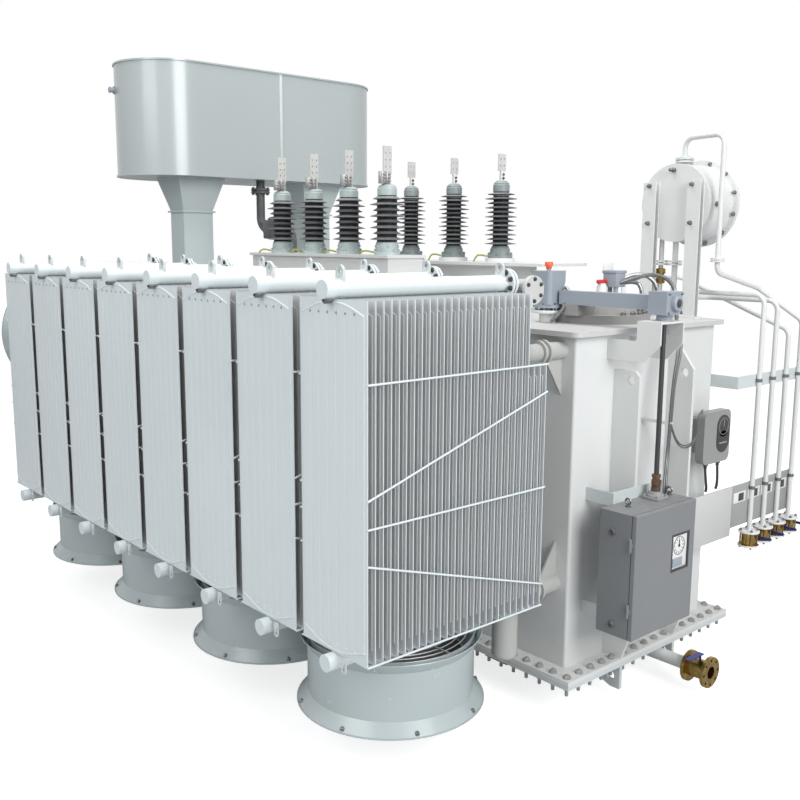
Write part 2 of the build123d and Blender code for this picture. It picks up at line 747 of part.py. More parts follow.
def build_fans():
    """Four fans hang under pairs of radiators and blow up, and one blows in from the far end."""
    rim_z = LOW_HEADER_Z - HEADER_R - FAN_HEADER_GAP
    half_pitch = RADIATOR_PITCH / 2
    ring_r = FAN_R - FAN_WALL / 2
    hang_y = sqrt(ring_r**2 - half_pitch**2)
    under_headers = [(sx * half_pitch, sy * hang_y) for sx in (1, -1) for sy in (1, -1)]
    for number in range(1, FAN_COUNT + 1):
        x = (radiator_x(2 * number - 1) + radiator_x(2 * number)) / 2
        mouth = Plane((x, BANK_MIDDLE_Y, rim_z - FAN_DEPTH))
        with BuildPart() as casing:
            fan_casing(mouth, FAN_HEADER_GAP - SEAT, under_headers)
        keep(casing, f"fan_casing_{number}")
        with BuildPart() as rotor:
            fan_rotor(mouth)
        keep(rotor, f"fan_rotor_{number}")

    bank_end_x = radiator_x(1) - PANEL_WIDTH / 2
    rim_x = bank_end_x - FAN_HEADER_GAP
    end_mouth = Plane((rim_x - FAN_DEPTH, BANK_MIDDLE_Y, END_FAN_Z), x_dir=(0, 1, 0), z_dir=(1, 0, 0))
    side = ring_r / sqrt(2)
    corners = [(sx * side, sy * side) for sx in (1, -1) for sy in (1, -1)]
    with BuildPart() as end_casing:
        fan_casing(end_mouth, FAN_HEADER_GAP - SEAT, corners)
    keep(end_casing, "end_fan_casing")
    with BuildPart() as end_rotor:
        fan_rotor(end_mouth)
    keep(end_rotor, "end_fan_rotor")


def build_conservator():
    """Main oil conservator, round at both ends, on two flared pedestals, with its gas relay pipe."""
    with BuildPart() as conservator:
        with BuildSketch(Plane.XY.offset(CONSERVATOR_FOOT_Z)):
            with Locations((CONSERVATOR_X, 0)):
                SlotOverall(CONSERVATOR_LENGTH, CONSERVATOR_WIDTH, rotation=90)
        extrude(amount=CONSERVATOR_HEIGHT)
        for z in (CONSERVATOR_FOOT_Z, CONSERVATOR_FOOT_Z + CONSERVATOR_HEIGHT - CONSERVATOR_RIM):
            with BuildSketch(Plane.XY.offset(z)):
                with Locations((CONSERVATOR_X, 0)):
                    SlotOverall(
                        CONSERVATOR_LENGTH + 2 * CONSERVATOR_RIM_OUT,
                        CONSERVATOR_WIDTH + 2 * CONSERVATOR_RIM_OUT,
                        rotation=90,
                    )
            extrude(amount=CONSERVATOR_RIM)
    keep(conservator, "conservator")

    pedestal_x = PEDESTAL_INSET - END_X
    pedestal_y = BACK_Y - PEDESTAL_EDGE
    joint_z = COVER_Z + PEDESTAL_HEIGHT
    with BuildPart() as pedestals:
        for place in ((pedestal_x, -pedestal_y), (pedestal_x, pedestal_y)):
            with BuildSketch(Plane.XY.offset(COVER_Z)):
                with Locations(place):
                    Rectangle(PEDESTAL_DEPTH, PEDESTAL_WIDTH)
            extrude(amount=PEDESTAL_HEIGHT - SEAT)
            with BuildSketch(Plane.XY.offset(joint_z)):
                with Locations(place):
                    Rectangle(PEDESTAL_DEPTH + PEDESTAL_PLATE_OUT, PEDESTAL_WIDTH + PEDESTAL_PLATE_OUT)
            extrude(amount=PEDESTAL_PLATE)
            with BuildSketch(Plane.XY.offset(joint_z + PEDESTAL_PLATE)):
                with Locations(place):
                    Rectangle(PEDESTAL_DEPTH, PEDESTAL_WIDTH)
            with BuildSketch(Plane.XY.offset(CONSERVATOR_FOOT_Z)):
                with Locations(place):
                    Rectangle(PEDESTAL_HEAD_DEPTH, PEDESTAL_HEAD_WIDTH)
            loft()
    keep(pedestals, "conservator_pedestals")

    far_x, near_x = RELAY_FAR_INSET - END_X, RELAY_NEAR_INSET - END_X
    relay_x = (far_x + near_x) / 2
    relay_z = COVER_Z + RELAY_PIPE_LIFT
    with BuildPart() as relay_pipe:
        with BuildLine() as route:
            FilletPolyline(
                (far_x, RELAY_PIPE_Y, CONSERVATOR_FOOT_Z),
                (far_x, RELAY_PIPE_Y, relay_z),
                (near_x, RELAY_PIPE_Y, relay_z),
                (near_x, RELAY_PIPE_Y, COVER_Z),
                radius=RELAY_BEND_R,
            )
        with BuildSketch(Plane(route.line @ 0, z_dir=route.line % 0)):
            Circle(RELAY_PIPE_R)
        sweep(path=route.line)
        with BuildSketch(Plane.YZ.offset(relay_x - RELAY_LENGTH / 2)):
            with Locations((RELAY_PIPE_Y, relay_z)):
                Circle(RELAY_R)
        extrude(amount=RELAY_LENGTH)
        for side in (-1, 1):
            with BuildSketch(Plane.YZ.offset(relay_x + side * RELAY_LENGTH / 2)):
                with Locations((RELAY_PIPE_Y, relay_z)):
                    Circle(RELAY_FLANGE_R)
            extrude(amount=RELAY_FLANGE_THICK / 2, both=True)
    keep(relay_pipe, "gas_relay_pipe")


def turret(middle_x, y, length, width, height, plate_out):
    """Raised box on the cover with a bolted plate that carries a row of bushings."""
    out_x, out_y = plate_out
    for z, long, wide, thick in (
        (COVER_Z, length, width, height),
        (COVER_Z + height, length + 2 * out_x, width + 2 * out_y, TURRET_PLATE),
    ):
        with BuildSketch(Plane.XY.offset(z)) as profile:
            with Locations((middle_x, y)):
                Rectangle(long, wide)
        extrude(profile.sketch, amount=thick)


def bushing(x, y, foot_z, core_r, shed_r, shed_height, shed_count):
    """Bushing turned in one piece: bolted foot, cone, sheds of two sizes by turns, and metal cap."""
    pitch = shed_height / shed_count
    base_z = foot_z + BUSHING_BASE_HEIGHT
    cap_z = base_z + shed_height
    points = [
        (0, foot_z),
        (BUSHING_BASE_R, foot_z),
        (BUSHING_BASE_R, foot_z + BUSHING_FOOT_THICK),
        (BUSHING_CONE_R, foot_z + BUSHING_FOOT_THICK),
    ]
    for shed in range(shed_count):
        low = base_z + shed * pitch
        points += [(core_r, low), (shed_r - shed % 2 * SHED_STEP, low + pitch * SHED_UNDERSIDE_SHARE)]
    points += [(core_r, cap_z), (BUSHING_CAP_R, cap_z), (BUSHING_CAP_R, cap_z + BUSHING_CAP_HEIGHT)]
    points += [(0, cap_z + BUSHING_CAP_HEIGHT)]
    with BuildSketch(Plane((x, y, 0), x_dir=(1, 0, 0), z_dir=(0, -1, 0))) as profile:
        with BuildLine():
            Polyline(*points, close=True)
        make_face()
    revolve(profile.sketch, axis=Axis((x, y, 0), (0, 0, 1)))
    return cap_z + BUSHING_CAP_HEIGHT


def palm(x, y, foot_z, clamp_r, width, height, hole_rows):
    """Terminal clamp with an upright flat palm, drilled for the bolts of a cable lug."""
    with BuildSketch(Plane.XY.offset(foot_z)) as profile:
        with Locations((x, y)):
            Circle(clamp_r)
    extrude(profile.sketch, amount=CLAMP_HEIGHT)
    palm_middle = foot_z + CLAMP_HEIGHT + height / 2
    with BuildSketch(Plane.YZ.offset(x - PALM_THICK / 2)) as profile:
        with Locations((y, palm_middle)):
            Rectangle(width, height)
            with GridLocations(PALM_HOLE_X, PALM_HOLE_Z, PALM_HOLE_COLUMNS, hole_rows):
                Circle(PALM_HOLE_R, mode=Mode.SUBTRACT)
    extrude(profile.sketch, amount=PALM_THICK)


def build_bushings():
    """Four low-voltage and three high-voltage bushings with their terminals on two turrets."""
    lv_xs = [LV_FIRST_X + LV_PITCH * i for i in range(LV_COUNT)]
    hv_xs = [HV_FIRST_X + HV_PITCH * i for i in range(HV_COUNT)]
    lv_middle = (lv_xs[0] + lv_xs[-1]) / 2
    hv_middle = (hv_xs[0] + hv_xs[-1]) / 2
    with BuildPart() as turrets:
        turret(lv_middle, LV_Y, LV_BOX_LENGTH, LV_BOX_WIDTH, LV_BOX_HEIGHT, LV_PLATE_OUT)
        turret(hv_middle, HV_Y, HV_BOX_LENGTH, HV_BOX_WIDTH, HV_BOX_HEIGHT, HV_PLATE_OUT)
        with BuildSketch(Plane.XY.offset(COVER_Z + HV_BOX_HEIGHT + TURRET_PLATE)):
            with Locations(*[(x, HV_Y) for x in hv_xs]):
                Circle(HV_COLLAR_R)
        extrude(amount=HV_COLLAR_HEIGHT)
    keep(turrets, "bushing_turrets")
    lv_foot = COVER_Z + LV_BOX_HEIGHT + TURRET_PLATE
    hv_foot = COVER_Z + HV_BOX_HEIGHT + TURRET_PLATE + HV_COLLAR_HEIGHT
    with BuildPart() as bushings:
        for x in lv_xs:
            lv_top = bushing(x, LV_Y, lv_foot, LV_CORE_R, LV_SHED_R, LV_SHED_HEIGHT, LV_SHED_COUNT)
        for x in hv_xs:
            hv_top = bushing(x, HV_Y, hv_foot, HV_CORE_R, HV_SHED_R, HV_SHED_HEIGHT, HV_SHED_COUNT)
    keep(bushings, "bushings")
    with BuildPart() as terminal_palms:
        for x in lv_xs:
            palm(x, LV_Y, lv_top, LV_CLAMP_R, LV_PALM_WIDTH, LV_PALM_HEIGHT, LV_HOLE_ROWS)
        for x in hv_xs:
            palm(x, HV_Y, hv_top, HV_CLAMP_R, HV_PALM_WIDTH, HV_PALM_HEIGHT, HV_HOLE_ROWS)
    keep(terminal_palms, "terminal_palms")


def build_tap_changer():
    """Tap changer head on the cover, the pressure relief valve beside it, and the drive down the end."""
    gear_x = HEAD_X + HEAD_GEAR_LENGTH / 2
    ring_top = COVER_Z + HEAD_RING_HEIGHT
    guard_foot = GUARD_Z - GUARD_WIDTH / 2
    with BuildPart() as head:
        with BuildSketch(Plane.XY.offset(COVER_Z)):
            with Locations((HEAD_X, HEAD_Y)):
                Circle(HEAD_RING_R)
        extrude(amount=HEAD_RING_HEIGHT)
        with BuildSketch(Plane.XY.offset(ring_top)):
            with Locations((HEAD_X, HEAD_Y)):
                Circle(HEAD_DOME_R)
        extrude(amount=HEAD_DOME_HEIGHT, taper=HEAD_DOME_TAPER)
        with BuildSketch(Plane.XY.offset(ring_top)):
            with Locations((gear_x, DRIVE_Y + HEAD_GEAR_SHIFT)):
                Rectangle(HEAD_GEAR_LENGTH, HEAD_GEAR_WIDTH)
        extrude(amount=guard_foot - SEAT - ring_top)
    keep(head, "tap_changer_head")

    guard_start = HEAD_X - GUARD_BACK
    guard_end = DRIVE_X - GEARBOX_LENGTH / 2
    inner = GUARD_WIDTH - 2 * GUARD_WALL
    with BuildPart() as shaft_guard:
        with BuildSketch(Plane.YZ.offset(guard_start)):
            with Locations((DRIVE_Y, GUARD_Z)):
                Rectangle(GUARD_WIDTH, GUARD_WIDTH)
            with Locations((DRIVE_Y, GUARD_Z - GUARD_WALL)):
                Rectangle(inner, GUARD_WIDTH, mode=Mode.SUBTRACT)
        extrude(amount=guard_end - guard_start)
    keep(shaft_guard, "shaft_guard")

    gearbox_foot = GUARD_Z - GEARBOX_HEIGHT / 2
    with BuildPart() as gearbox:
        with BuildSketch(Plane.XY.offset(gearbox_foot)):
            with Locations((DRIVE_X, DRIVE_Y)):
                Rectangle(GEARBOX_LENGTH, GEARBOX_WIDTH)
        extrude(amount=GEARBOX_HEIGHT)
        chamfer(gearbox.edges().filter_by(Axis.Z), GEARBOX_EDGE)
        with BuildSketch(Plane.YZ.offset(DRIVE_X + GEARBOX_LENGTH / 2)):
            with Locations((DRIVE_Y, GUARD_Z)):
                Circle(GEARBOX_BOSS_R)
        extrude(amount=GEARBOX_BOSS)
        with BuildSketch(Plane.XY.offset(BRACKET_SHELF_Z)):
            with Locations((DRIVE_X, DRIVE_Y)):
                Circle(GEARBOX_NECK_R)
        extrude(amount=gearbox_foot - BRACKET_SHELF_Z)
    keep(gearbox, "bevel_gearbox")

    reach_x = END_X + BRACKET_REACH
    shelf_x = reach_x - BRACKET_SHELF_LENGTH
    low_y, high_y = DRIVE_Y - BRACKET_LOW_SIDE, DRIVE_Y + BRACKET_HIGH_SIDE
    foot_z, arm_top = COVER_Z - BRACKET_FOOT_DROP, COVER_Z - BRACKET_ARM_DROP
    with BuildPart() as bracket:
        for y in (low_y, high_y):
            with BuildSketch(Plane.XZ.offset(-y)):
                with BuildLine():
                    Polyline(
                        (END_X, foot_z),
                        (reach_x - BRACKET_CHAMFER, foot_z),
                        (reach_x, foot_z + BRACKET_CHAMFER),
                        (reach_x, BRACKET_SHELF_Z),
                        (shelf_x, BRACKET_SHELF_Z),
                        (shelf_x, arm_top + BRACKET_THICK),
                        (shelf_x - BRACKET_THICK, arm_top),
                        (END_X, arm_top),
                        close=True,
                    )
                make_face()
            extrude(amount=BRACKET_THICK / 2, both=True)
        with BuildSketch(Plane.XY.offset(BRACKET_SHELF_Z - BRACKET_THICK)):
            with Locations(((shelf_x + reach_x) / 2, (low_y + high_y) / 2)):
                Rectangle(BRACKET_SHELF_LENGTH, high_y - low_y)
            with Locations((DRIVE_X, DRIVE_Y)):
                Circle(SHAFT_HOLE_R, mode=Mode.SUBTRACT)
        extrude(amount=BRACKET_THICK)
    keep(bracket, "gearbox_bracket")

    coupling_z = CABINET_TOP_Z + SHAFT_FOOT_THICK
    shaft_z = coupling_z + COUPLING_LENGTH
    with BuildPart() as drive_shaft:
        with BuildSketch(Plane.XY.offset(CABINET_TOP_Z)):
            with Locations((DRIVE_X, DRIVE_Y)):
                Circle(SHAFT_FOOT_R)
        extrude(amount=SHAFT_FOOT_THICK)
        with BuildSketch(Plane.XY.offset(coupling_z)):
            with Locations((DRIVE_X, DRIVE_Y)):
                Circle(COUPLING_R)
        extrude(amount=COUPLING_LENGTH)
        with BuildSketch(Plane.XY.offset(shaft_z)):
            with Locations((DRIVE_X, DRIVE_Y)):
                Circle(SHAFT_R)
        extrude(amount=BRACKET_SHELF_Z - SEAT - shaft_z)
    keep(drive_shaft, "drive_shaft")

    relief_x = END_X - RELIEF_INSET
    flange_z = COVER_Z + RELIEF_NECK_HEIGHT
    body_z = flange_z + RELIEF_FLANGE_THICK
    body_top = body_z + RELIEF_BODY_HEIGHT
    with BuildPart() as relief:
        for z, radius, height in (
            (COVER_Z, RELIEF_NECK_R, RELIEF_NECK_HEIGHT),
            (flange_z, RELIEF_FLANGE_R, RELIEF_FLANGE_THICK),
            (body_top, RELIEF_PIN_R, RELIEF_PIN_HEIGHT),
        ):
            with BuildSketch(Plane.XY.offset(z)):
                with Locations((relief_x, RELIEF_Y)):
                    Circle(radius)
            extrude(amount=height)
        with BuildSketch(Plane.XY.offset(body_z)):
            with Locations((relief_x, RELIEF_Y)):
                RectangleRounded(RELIEF_BODY, RELIEF_BODY, RELIEF_CORNER)
        extrude(amount=RELIEF_BODY_HEIGHT)
        with BuildSketch(Plane.XY.offset(body_top - RELIEF_BOX)):
            with Locations((relief_x, RELIEF_Y + RELIEF_BODY / 2)):
                Rectangle(RELIEF_BOX, RELIEF_BOX)
        extrude(amount=RELIEF_BOX)
    keep(relief, "relief_valve")


def hinge_parts(axis_x, axis_y, spans, leaf_x, leaf_y, bore_r):
    """Hinge knuckles stacked on one upright line, each tied to its leaf."""
    for low, high in spans:
        with BuildSketch(Plane.XY.offset(low)) as profile:
            with Locations((axis_x, axis_y)):
                Circle(HINGE_R)
            with Locations(((leaf_x[0] + leaf_x[1]) / 2, (leaf_y[0] + leaf_y[1]) / 2)):
                Rectangle(leaf_x[1] - leaf_x[0], leaf_y[1] - leaf_y[0])
            if bore_r:
                with Locations((axis_x, axis_y)):
                    Circle(bore_r, mode=Mode.SUBTRACT)
        extrude(profile.sketch, amount=high - low)


def build_cabinet():
    """Motor drive cabinet with a hinged door."""
    back_x = RIB_FACE_X + RAIL_THICK
    face_x = back_x + CABINET_DEPTH
    high_y = CABINET_LOW_Y + CABINET_WIDTH
    middle_y = (CABINET_LOW_Y + high_y) / 2
    axis_x = face_x + SWING_GAP / 2
    axis_y = CABINET_LOW_Y - HINGE_R
    reach = HINGE_KNUCKLE / 2
    hinge_zs = (CABINET_FOOT_Z + HINGE_END, CABINET_TOP_Z - HINGE_END)
    with BuildPart() as cabinet:
        with BuildSketch(Plane.XY.offset(CABINET_FOOT_Z)):
            with Locations(((back_x + face_x) / 2, middle_y)):
                Rectangle(CABINET_DEPTH, CABINET_WIDTH)
        extrude(amount=CABINET_HEIGHT)
        for z in hinge_zs:
            body_spans = [(z - 3 * reach, z - reach - RUN_GAP), (z + reach + RUN_GAP, z + 3 * reach)]
            body_leaf = (face_x - 2 * HINGE_R, face_x)
            hinge_parts(axis_x, axis_y, body_spans, body_leaf, (axis_y, CABINET_LOW_Y), 0)
            with BuildSketch(Plane.XY.offset(z - reach - RUN_GAP)):
                with Locations((axis_x, axis_y)):
                    Circle(HINGE_PIN_R)
            extrude(amount=2 * (reach + RUN_GAP))
    keep(cabinet, "drive_cabinet")

    door_x = face_x + SWING_GAP
    with BuildPart() as door:
        with BuildSketch(Plane.YZ.offset(door_x)):
            with Locations((middle_y, CABINET_FOOT_Z + CABINET_HEIGHT / 2)):
                Rectangle(CABINET_WIDTH, CABINET_HEIGHT)
        extrude(amount=DOOR_THICK)
        chamfer(door.faces().sort_by(Axis.X)[-1].edges(), DOOR_EDGE)
        with BuildSketch(Plane.YZ.offset(door_x + DOOR_THICK - WINDOW_DEPTH)):
            with Locations((high_y - WINDOW_SIDE, CABINET_FOOT_Z + WINDOW_LIFT)):
                Rectangle(WINDOW_WIDTH, WINDOW_HEIGHT)
        extrude(amount=WINDOW_DEPTH, mode=Mode.SUBTRACT)
        for z in hinge_zs:
            door_leaf = (door_x, door_x + HINGE_R)
            door_spans = [(z - reach, z + reach)]
            hinge_parts(
                axis_x, axis_y, door_spans, door_leaf, (axis_y, CABINET_LOW_Y), HINGE_PIN_R + RUN_GAP
            )
    keep(door, "drive_cabinet_door")


def cabinet_rails():
    """Two rails across the low rib that carry the cabinet, each with an arm back to the wall."""
    rail_end = CABINET_LOW_Y + CABINET_WIDTH + RAIL_SIDE
    rail_start = CABINET_LOW_Y + RAIL_INSET
    for z in (CABINET_FOOT_Z + RAIL_FOOT_LIFT, CABINET_TOP_Z - RAIL_TOP_DROP):
        with BuildSketch(Plane.XY.offset(z)) as profile:
            with Locations((RIB_FACE_X + RAIL_THICK / 2, (rail_start + rail_end) / 2)):
                Rectangle(RAIL_THICK, rail_end - rail_start)
            with Locations(((END_X + RIB_FACE_X) / 2, rail_start + RAIL_ARM_THICK / 2)):
                Rectangle(RIB_FACE_X - END_X, RAIL_ARM_THICK)
        extrude(profile.sketch, amount=RAIL_HEIGHT)


def build_small_conservator():
    """Tap changer conservator: a short drum bolted to two channel posts at the cover's back edge."""
    plate_y = BACK_Y - SWING_GAP
    with BuildPart() as drum:
        with BuildSketch(Plane.XZ.offset(-plate_y)):
            with Locations((SMALL_TANK_X, SMALL_TANK_Z)):
                Circle(SMALL_TANK_R)
        extrude(amount=-SMALL_TANK_LENGTH)
        with BuildSketch(Plane.XZ.offset(-plate_y - SMALL_TANK_LENGTH)):
            with Locations((SMALL_TANK_X, SMALL_TANK_Z)):
                Circle(SMALL_FLANGE_R)
        extrude(amount=SMALL_FLANGE_THICK)
    keep(drum, "tap_conservator")

    with BuildPart() as posts:
        for side in (-1, 1):
            x = SMALL_TANK_X + side * POST_SPREAD / 2
            with BuildSketch(Plane.XY.offset(COVER_Z + POST_FOOT)):
                with Locations((x, plate_y - POST_DEPTH / 2)):
                    Rectangle(POST_WIDTH, POST_DEPTH)
                with Locations((x + POST_WALL, plate_y - POST_DEPTH / 2)):
                    Rectangle(POST_WIDTH, POST_DEPTH - 2 * POST_WALL, mode=Mode.SUBTRACT)
            extrude(amount=SMALL_TANK_Z + POST_TOP_OVER - COVER_Z - POST_FOOT)
            with BuildSketch(Plane.XY.offset(COVER_Z)):
                with Locations((x, plate_y - POST_DEPTH / 2)):
                    Rectangle(POST_WIDTH + 2 * POST_FOOT_OUT, POST_DEPTH + 2 * POST_FOOT_OUT)
            extrude(amount=POST_FOOT)
    keep(posts, "tap_conservator_posts")
    return plate_y


def pipe_along(points):
    """Round pipe through the given corners, with a bend at each."""
    with BuildLine() as route:
        FilletPolyline(*points, radius=PIPE_BEND_R)
    with BuildSketch(Plane(route.line @ 0, z_dir=route.line % 0)) as profile:
        Circle(PIPE_R)
    sweep(profile.sketch, path=route.line)


def drain_pipe():
    """Drain pipe under the tank floor."""
    start_x = END_X - DRAIN_PIPE_INSET
    with BuildSketch(Plane.YZ.offset(start_x)) as profile:
        with Locations((DRAIN_Y, DRAIN_Z)):
            Circle(DRAIN_PIPE_R)
    extrude(profile.sketch, amount=DRAIN_VALVE_X - start_x)
    with BuildSketch(Plane.XY.offset(DRAIN_Z)) as profile:
        with Locations((start_x + DRAIN_PIPE_R, DRAIN_Y)):
            Circle(DRAIN_PIPE_R)
    extrude(profile.sketch, amount=BEARER_HEIGHT - DRAIN_Z)


def drain_valve():
    """Flanged valve at the end of the drain pipe, with a drilled face for a hose or a pipe."""
    end_x = DRAIN_VALVE_X + DRAIN_VALVE_LENGTH
    for x, radius, length in (
        (DRAIN_VALVE_X, DRAIN_BODY_R, DRAIN_VALVE_LENGTH),
        (DRAIN_VALVE_X, DRAIN_FLANGE_R, DRAIN_FLANGE_THICK),
        (end_x - DRAIN_FLANGE_THICK, DRAIN_FLANGE_R, DRAIN_FLANGE_THICK),
    ):
        with BuildSketch(Plane.YZ.offset(x)) as profile:
            with Locations((DRAIN_Y, DRAIN_Z)):
                Circle(radius)
        extrude(profile.sketch, amount=length)
    with BuildSketch(Plane.YZ.offset(end_x)) as profile:
        with Locations((DRAIN_Y, DRAIN_Z)):
            with PolarLocations(DRAIN_HOLE_CIRCLE_R, DRAIN_HOLE_COUNT):
                Circle(DRAIN_HOLE_R)
    extrude(profile.sketch, amount=-DRAIN_FLANGE_THICK, mode=Mode.SUBTRACT)
    with BuildSketch(Plane.YZ.offset(end_x)) as profile:
        with Locations((DRAIN_Y, DRAIN_Z)):
            Circle(DRAIN_BORE_R)
    extrude(profile.sketch, amount=-DRAIN_VALVE_LENGTH / 2, mode=Mode.SUBTRACT)


def build_pipes(plate_y):
    """Four small oil pipes side by side off the tank's back corner, the drain, and all their valves."""
    ys = [BACK_Y + PIPE_FIRST_SIDE + PIPE_PITCH * i for i in range(PIPE_COUNT)]
    high_z = COVER_Z + PIPE_HIGH_LIFT
    cross_z = high_z - PIPE_CROSS_DROP
    bend_z = COVER_Z - PIPE_BEND_DROP
    slope_z = COVER_Z + PIPE_SLOPE_LIFT
    far_x = SMALL_TANK_X - PIPE_FAR_BACK
    cover_y = BACK_Y - PIPE_COVER_INSET
    loop_x = SMALL_TANK_X + LOOP_OUT
    loop_y = BACK_Y + LOOP_SIDE
    loop_knee_z = COVER_Z + LOOP_KNEE_LIFT
    loop_top_z = SMALL_TANK_Z + LOOP_OVER
    loop_start_y = plate_y + LOOP_START
    with BuildPart() as oil_pipes:
        pipe_along([
            (PIPE_X, ys[0], PIPE_FOOT_Z),
            (PIPE_X, ys[0], high_z),
            (SMALL_TANK_X, ys[0], high_z),
            (SMALL_TANK_X, ys[0], SMALL_TANK_Z - SMALL_TANK_R - SEAT),
        ])
        pipe_along([
            (PIPE_X, ys[1], PIPE_FOOT_Z),
            (PIPE_X, ys[1], cross_z),
            (SMALL_TANK_X, ys[1], cross_z),
            (SMALL_TANK_X, cover_y, cross_z),
            (SMALL_TANK_X, cover_y, COVER_Z),
        ])
        pipe_along([
            (PIPE_X, ys[2], PIPE_FOOT_Z),
            (PIPE_X, ys[2], bend_z),
            (far_x, ys[2], slope_z),
            (far_x, cover_y, slope_z),
            (far_x, cover_y, COVER_Z),
        ])
        pipe_along([
            (PIPE_X, ys[3], PIPE_FOOT_Z),
            (PIPE_X, ys[3], COVER_Z - LOOP_BEND_DROP),
            (loop_x, BACK_Y + LOOP_CREST_SIDE, COVER_Z + LOOP_CREST_LIFT),
            (loop_x, loop_y, loop_knee_z),
            (loop_x, loop_y, loop_top_z),
            (SMALL_TANK_X, loop_start_y, loop_top_z),
            (SMALL_TANK_X, loop_start_y, SMALL_TANK_Z + SMALL_TANK_R + SEAT),
        ])
        for step in (0, LOOP_FLANGE_PITCH):
            with BuildSketch(Plane.XY.offset(loop_knee_z + LOOP_FLANGE_LIFT + step)):
                with Locations((loop_x, loop_y)):
                    Circle(LOOP_FLANGE_R)
            extrude(amount=LOOP_FLANGE_THICK)
        drain_pipe()
    keep(oil_pipes, "oil_pipes")

    bar_face = PIPE_X - PIPE_R - SEAT
    end_y = ys[-1] + SUPPORT_END
    with BuildPart() as supports:
        cabinet_rails()
        with BuildSketch(Plane.XY.offset(COVER_Z - SUPPORT_DROP)):
            with Locations((bar_face - SUPPORT_THICK / 2, (BACK_Y + end_y) / 2)):
                Rectangle(SUPPORT_THICK, end_y - BACK_Y)
            with Locations((bar_face - SUPPORT_ROOT / 2, BACK_Y + SUPPORT_THICK / 2)):
                Rectangle(SUPPORT_ROOT, SUPPORT_THICK)
        extrude(amount=SUPPORT_HEIGHT)
        plate_start = RIB_HIGH_Y - RIB_THICK / 2
        plate_end = ys[-1] + PIPE_R
        with BuildSketch(Plane.XY.offset(PLATE_FOOT_Z)):
            with Locations(((RIB_FACE_X + bar_face) / 2, (plate_start + plate_end) / 2)):
                Rectangle(bar_face - RIB_FACE_X, plate_end - plate_start)
        extrude(amount=PLATE_HEIGHT)
    keep(supports, "wall_brackets")

    body_foot = PIPE_FOOT_Z - SMALL_VALVE_LENGTH
    with BuildPart() as valves:
        for y in ys:
            for z, radius, height in (
                (body_foot, SMALL_VALVE_R, SMALL_VALVE_LENGTH),
                (PIPE_FOOT_Z - SMALL_VALVE_FLANGE, SMALL_VALVE_FLANGE_R, SMALL_VALVE_FLANGE),
                (body_foot, SMALL_VALVE_FLANGE_R, SMALL_VALVE_FLANGE),
            ):
                with BuildSketch(Plane.XY.offset(z)):
                    with Locations((PIPE_X, y)):
                        Circle(radius)
                extrude(amount=height)
        drain_valve()
    keep(valves, "oil_valves")
    return ys


def build_levers(ys):
    """Quarter-turn levers on the small valves and on the drain valve."""
    stem_out = SMALL_VALVE_R + SEAT
    lever_x = PIPE_X + LEVER_LENGTH / 2 - LEVER_WIDTH / 2
    middle_z = PIPE_FOOT_Z - SMALL_VALVE_LENGTH / 2
    drain_x = DRAIN_VALVE_X + DRAIN_VALVE_LENGTH / 2
    with BuildPart() as levers:
        for y in ys:
            with BuildSketch(Plane.XZ.offset(-y - stem_out)):
                with Locations((PIPE_X, middle_z)):
                    Circle(LEVER_STEM_R)
            extrude(amount=-LEVER_STEM)
            with BuildSketch(Plane.XZ.offset(-y - stem_out - LEVER_STEM)):
                with Locations((lever_x, middle_z)):
                    Rectangle(LEVER_LENGTH, LEVER_WIDTH)
            extrude(amount=-LEVER_THICK)
        with BuildSketch(Plane.XY.offset(DRAIN_Z + DRAIN_BODY_R + SEAT)):
            with Locations((drain_x, DRAIN_Y)):
                Circle(LEVER_STEM_R)
        extrude(amount=DRAIN_LEVER_STEM)
        with BuildSketch(Plane.XY.offset(DRAIN_Z + DRAIN_BODY_R + SEAT + DRAIN_LEVER_STEM)):
            with Locations((drain_x, DRAIN_Y - LEVER_LENGTH / 2)):
                Rectangle(DRAIN_LEVER_WIDTH, LEVER_LENGTH + LEVER_WIDTH)
        extrude(amount=LEVER_THICK)
    keep(levers, "valve_levers")


def build_gauge():
    """Thermometer box on a bracket that stands off the tank's end wall."""
    face_x = END_X + GAUGE_STANDOFF
    middle_y = BACK_Y - GAUGE_EDGE
    middle_z = GAUGE_FOOT_Z + GAUGE_HEIGHT / 2
    with BuildPart() as gauge:
        with BuildSketch(Plane.YZ.offset(face_x)):
            with Locations((middle_y, middle_z)):
                RectangleRounded(GAUGE_WIDTH, GAUGE_HEIGHT, GAUGE_CORNER)
        extrude(amount=GAUGE_DEPTH)
        with BuildSketch(Plane.YZ.offset(END_X)):
            with Locations((middle_y, middle_z)):
                Rectangle(GAUGE_BACK_WIDTH, GAUGE_BACK_HEIGHT)
        extrude(amount=GAUGE_STANDOFF)
    keep(gauge, "thermometer_box")


build_tank()
build_tank_plates()
build_radiators()
build_collectors()
build_fans()
build_conservator()
build_bushings()
build_tap_changer()
build_cabinet()
drum_face_y = build_small_conservator()
pipe_ys = build_pipes(drum_face_y)
build_levers(pipe_ys)
build_gauge()
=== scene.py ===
# %% [markdown]
# # An oil-filled power transformer
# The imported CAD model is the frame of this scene: it holds every plate, pipe and fan at its true place.
# Blender adds the finish, and the small forms that a CAD model leaves plain.

# %% Load the frame
from math import cos, radians, sin

import bpy
from mathutils import Matrix, Vector


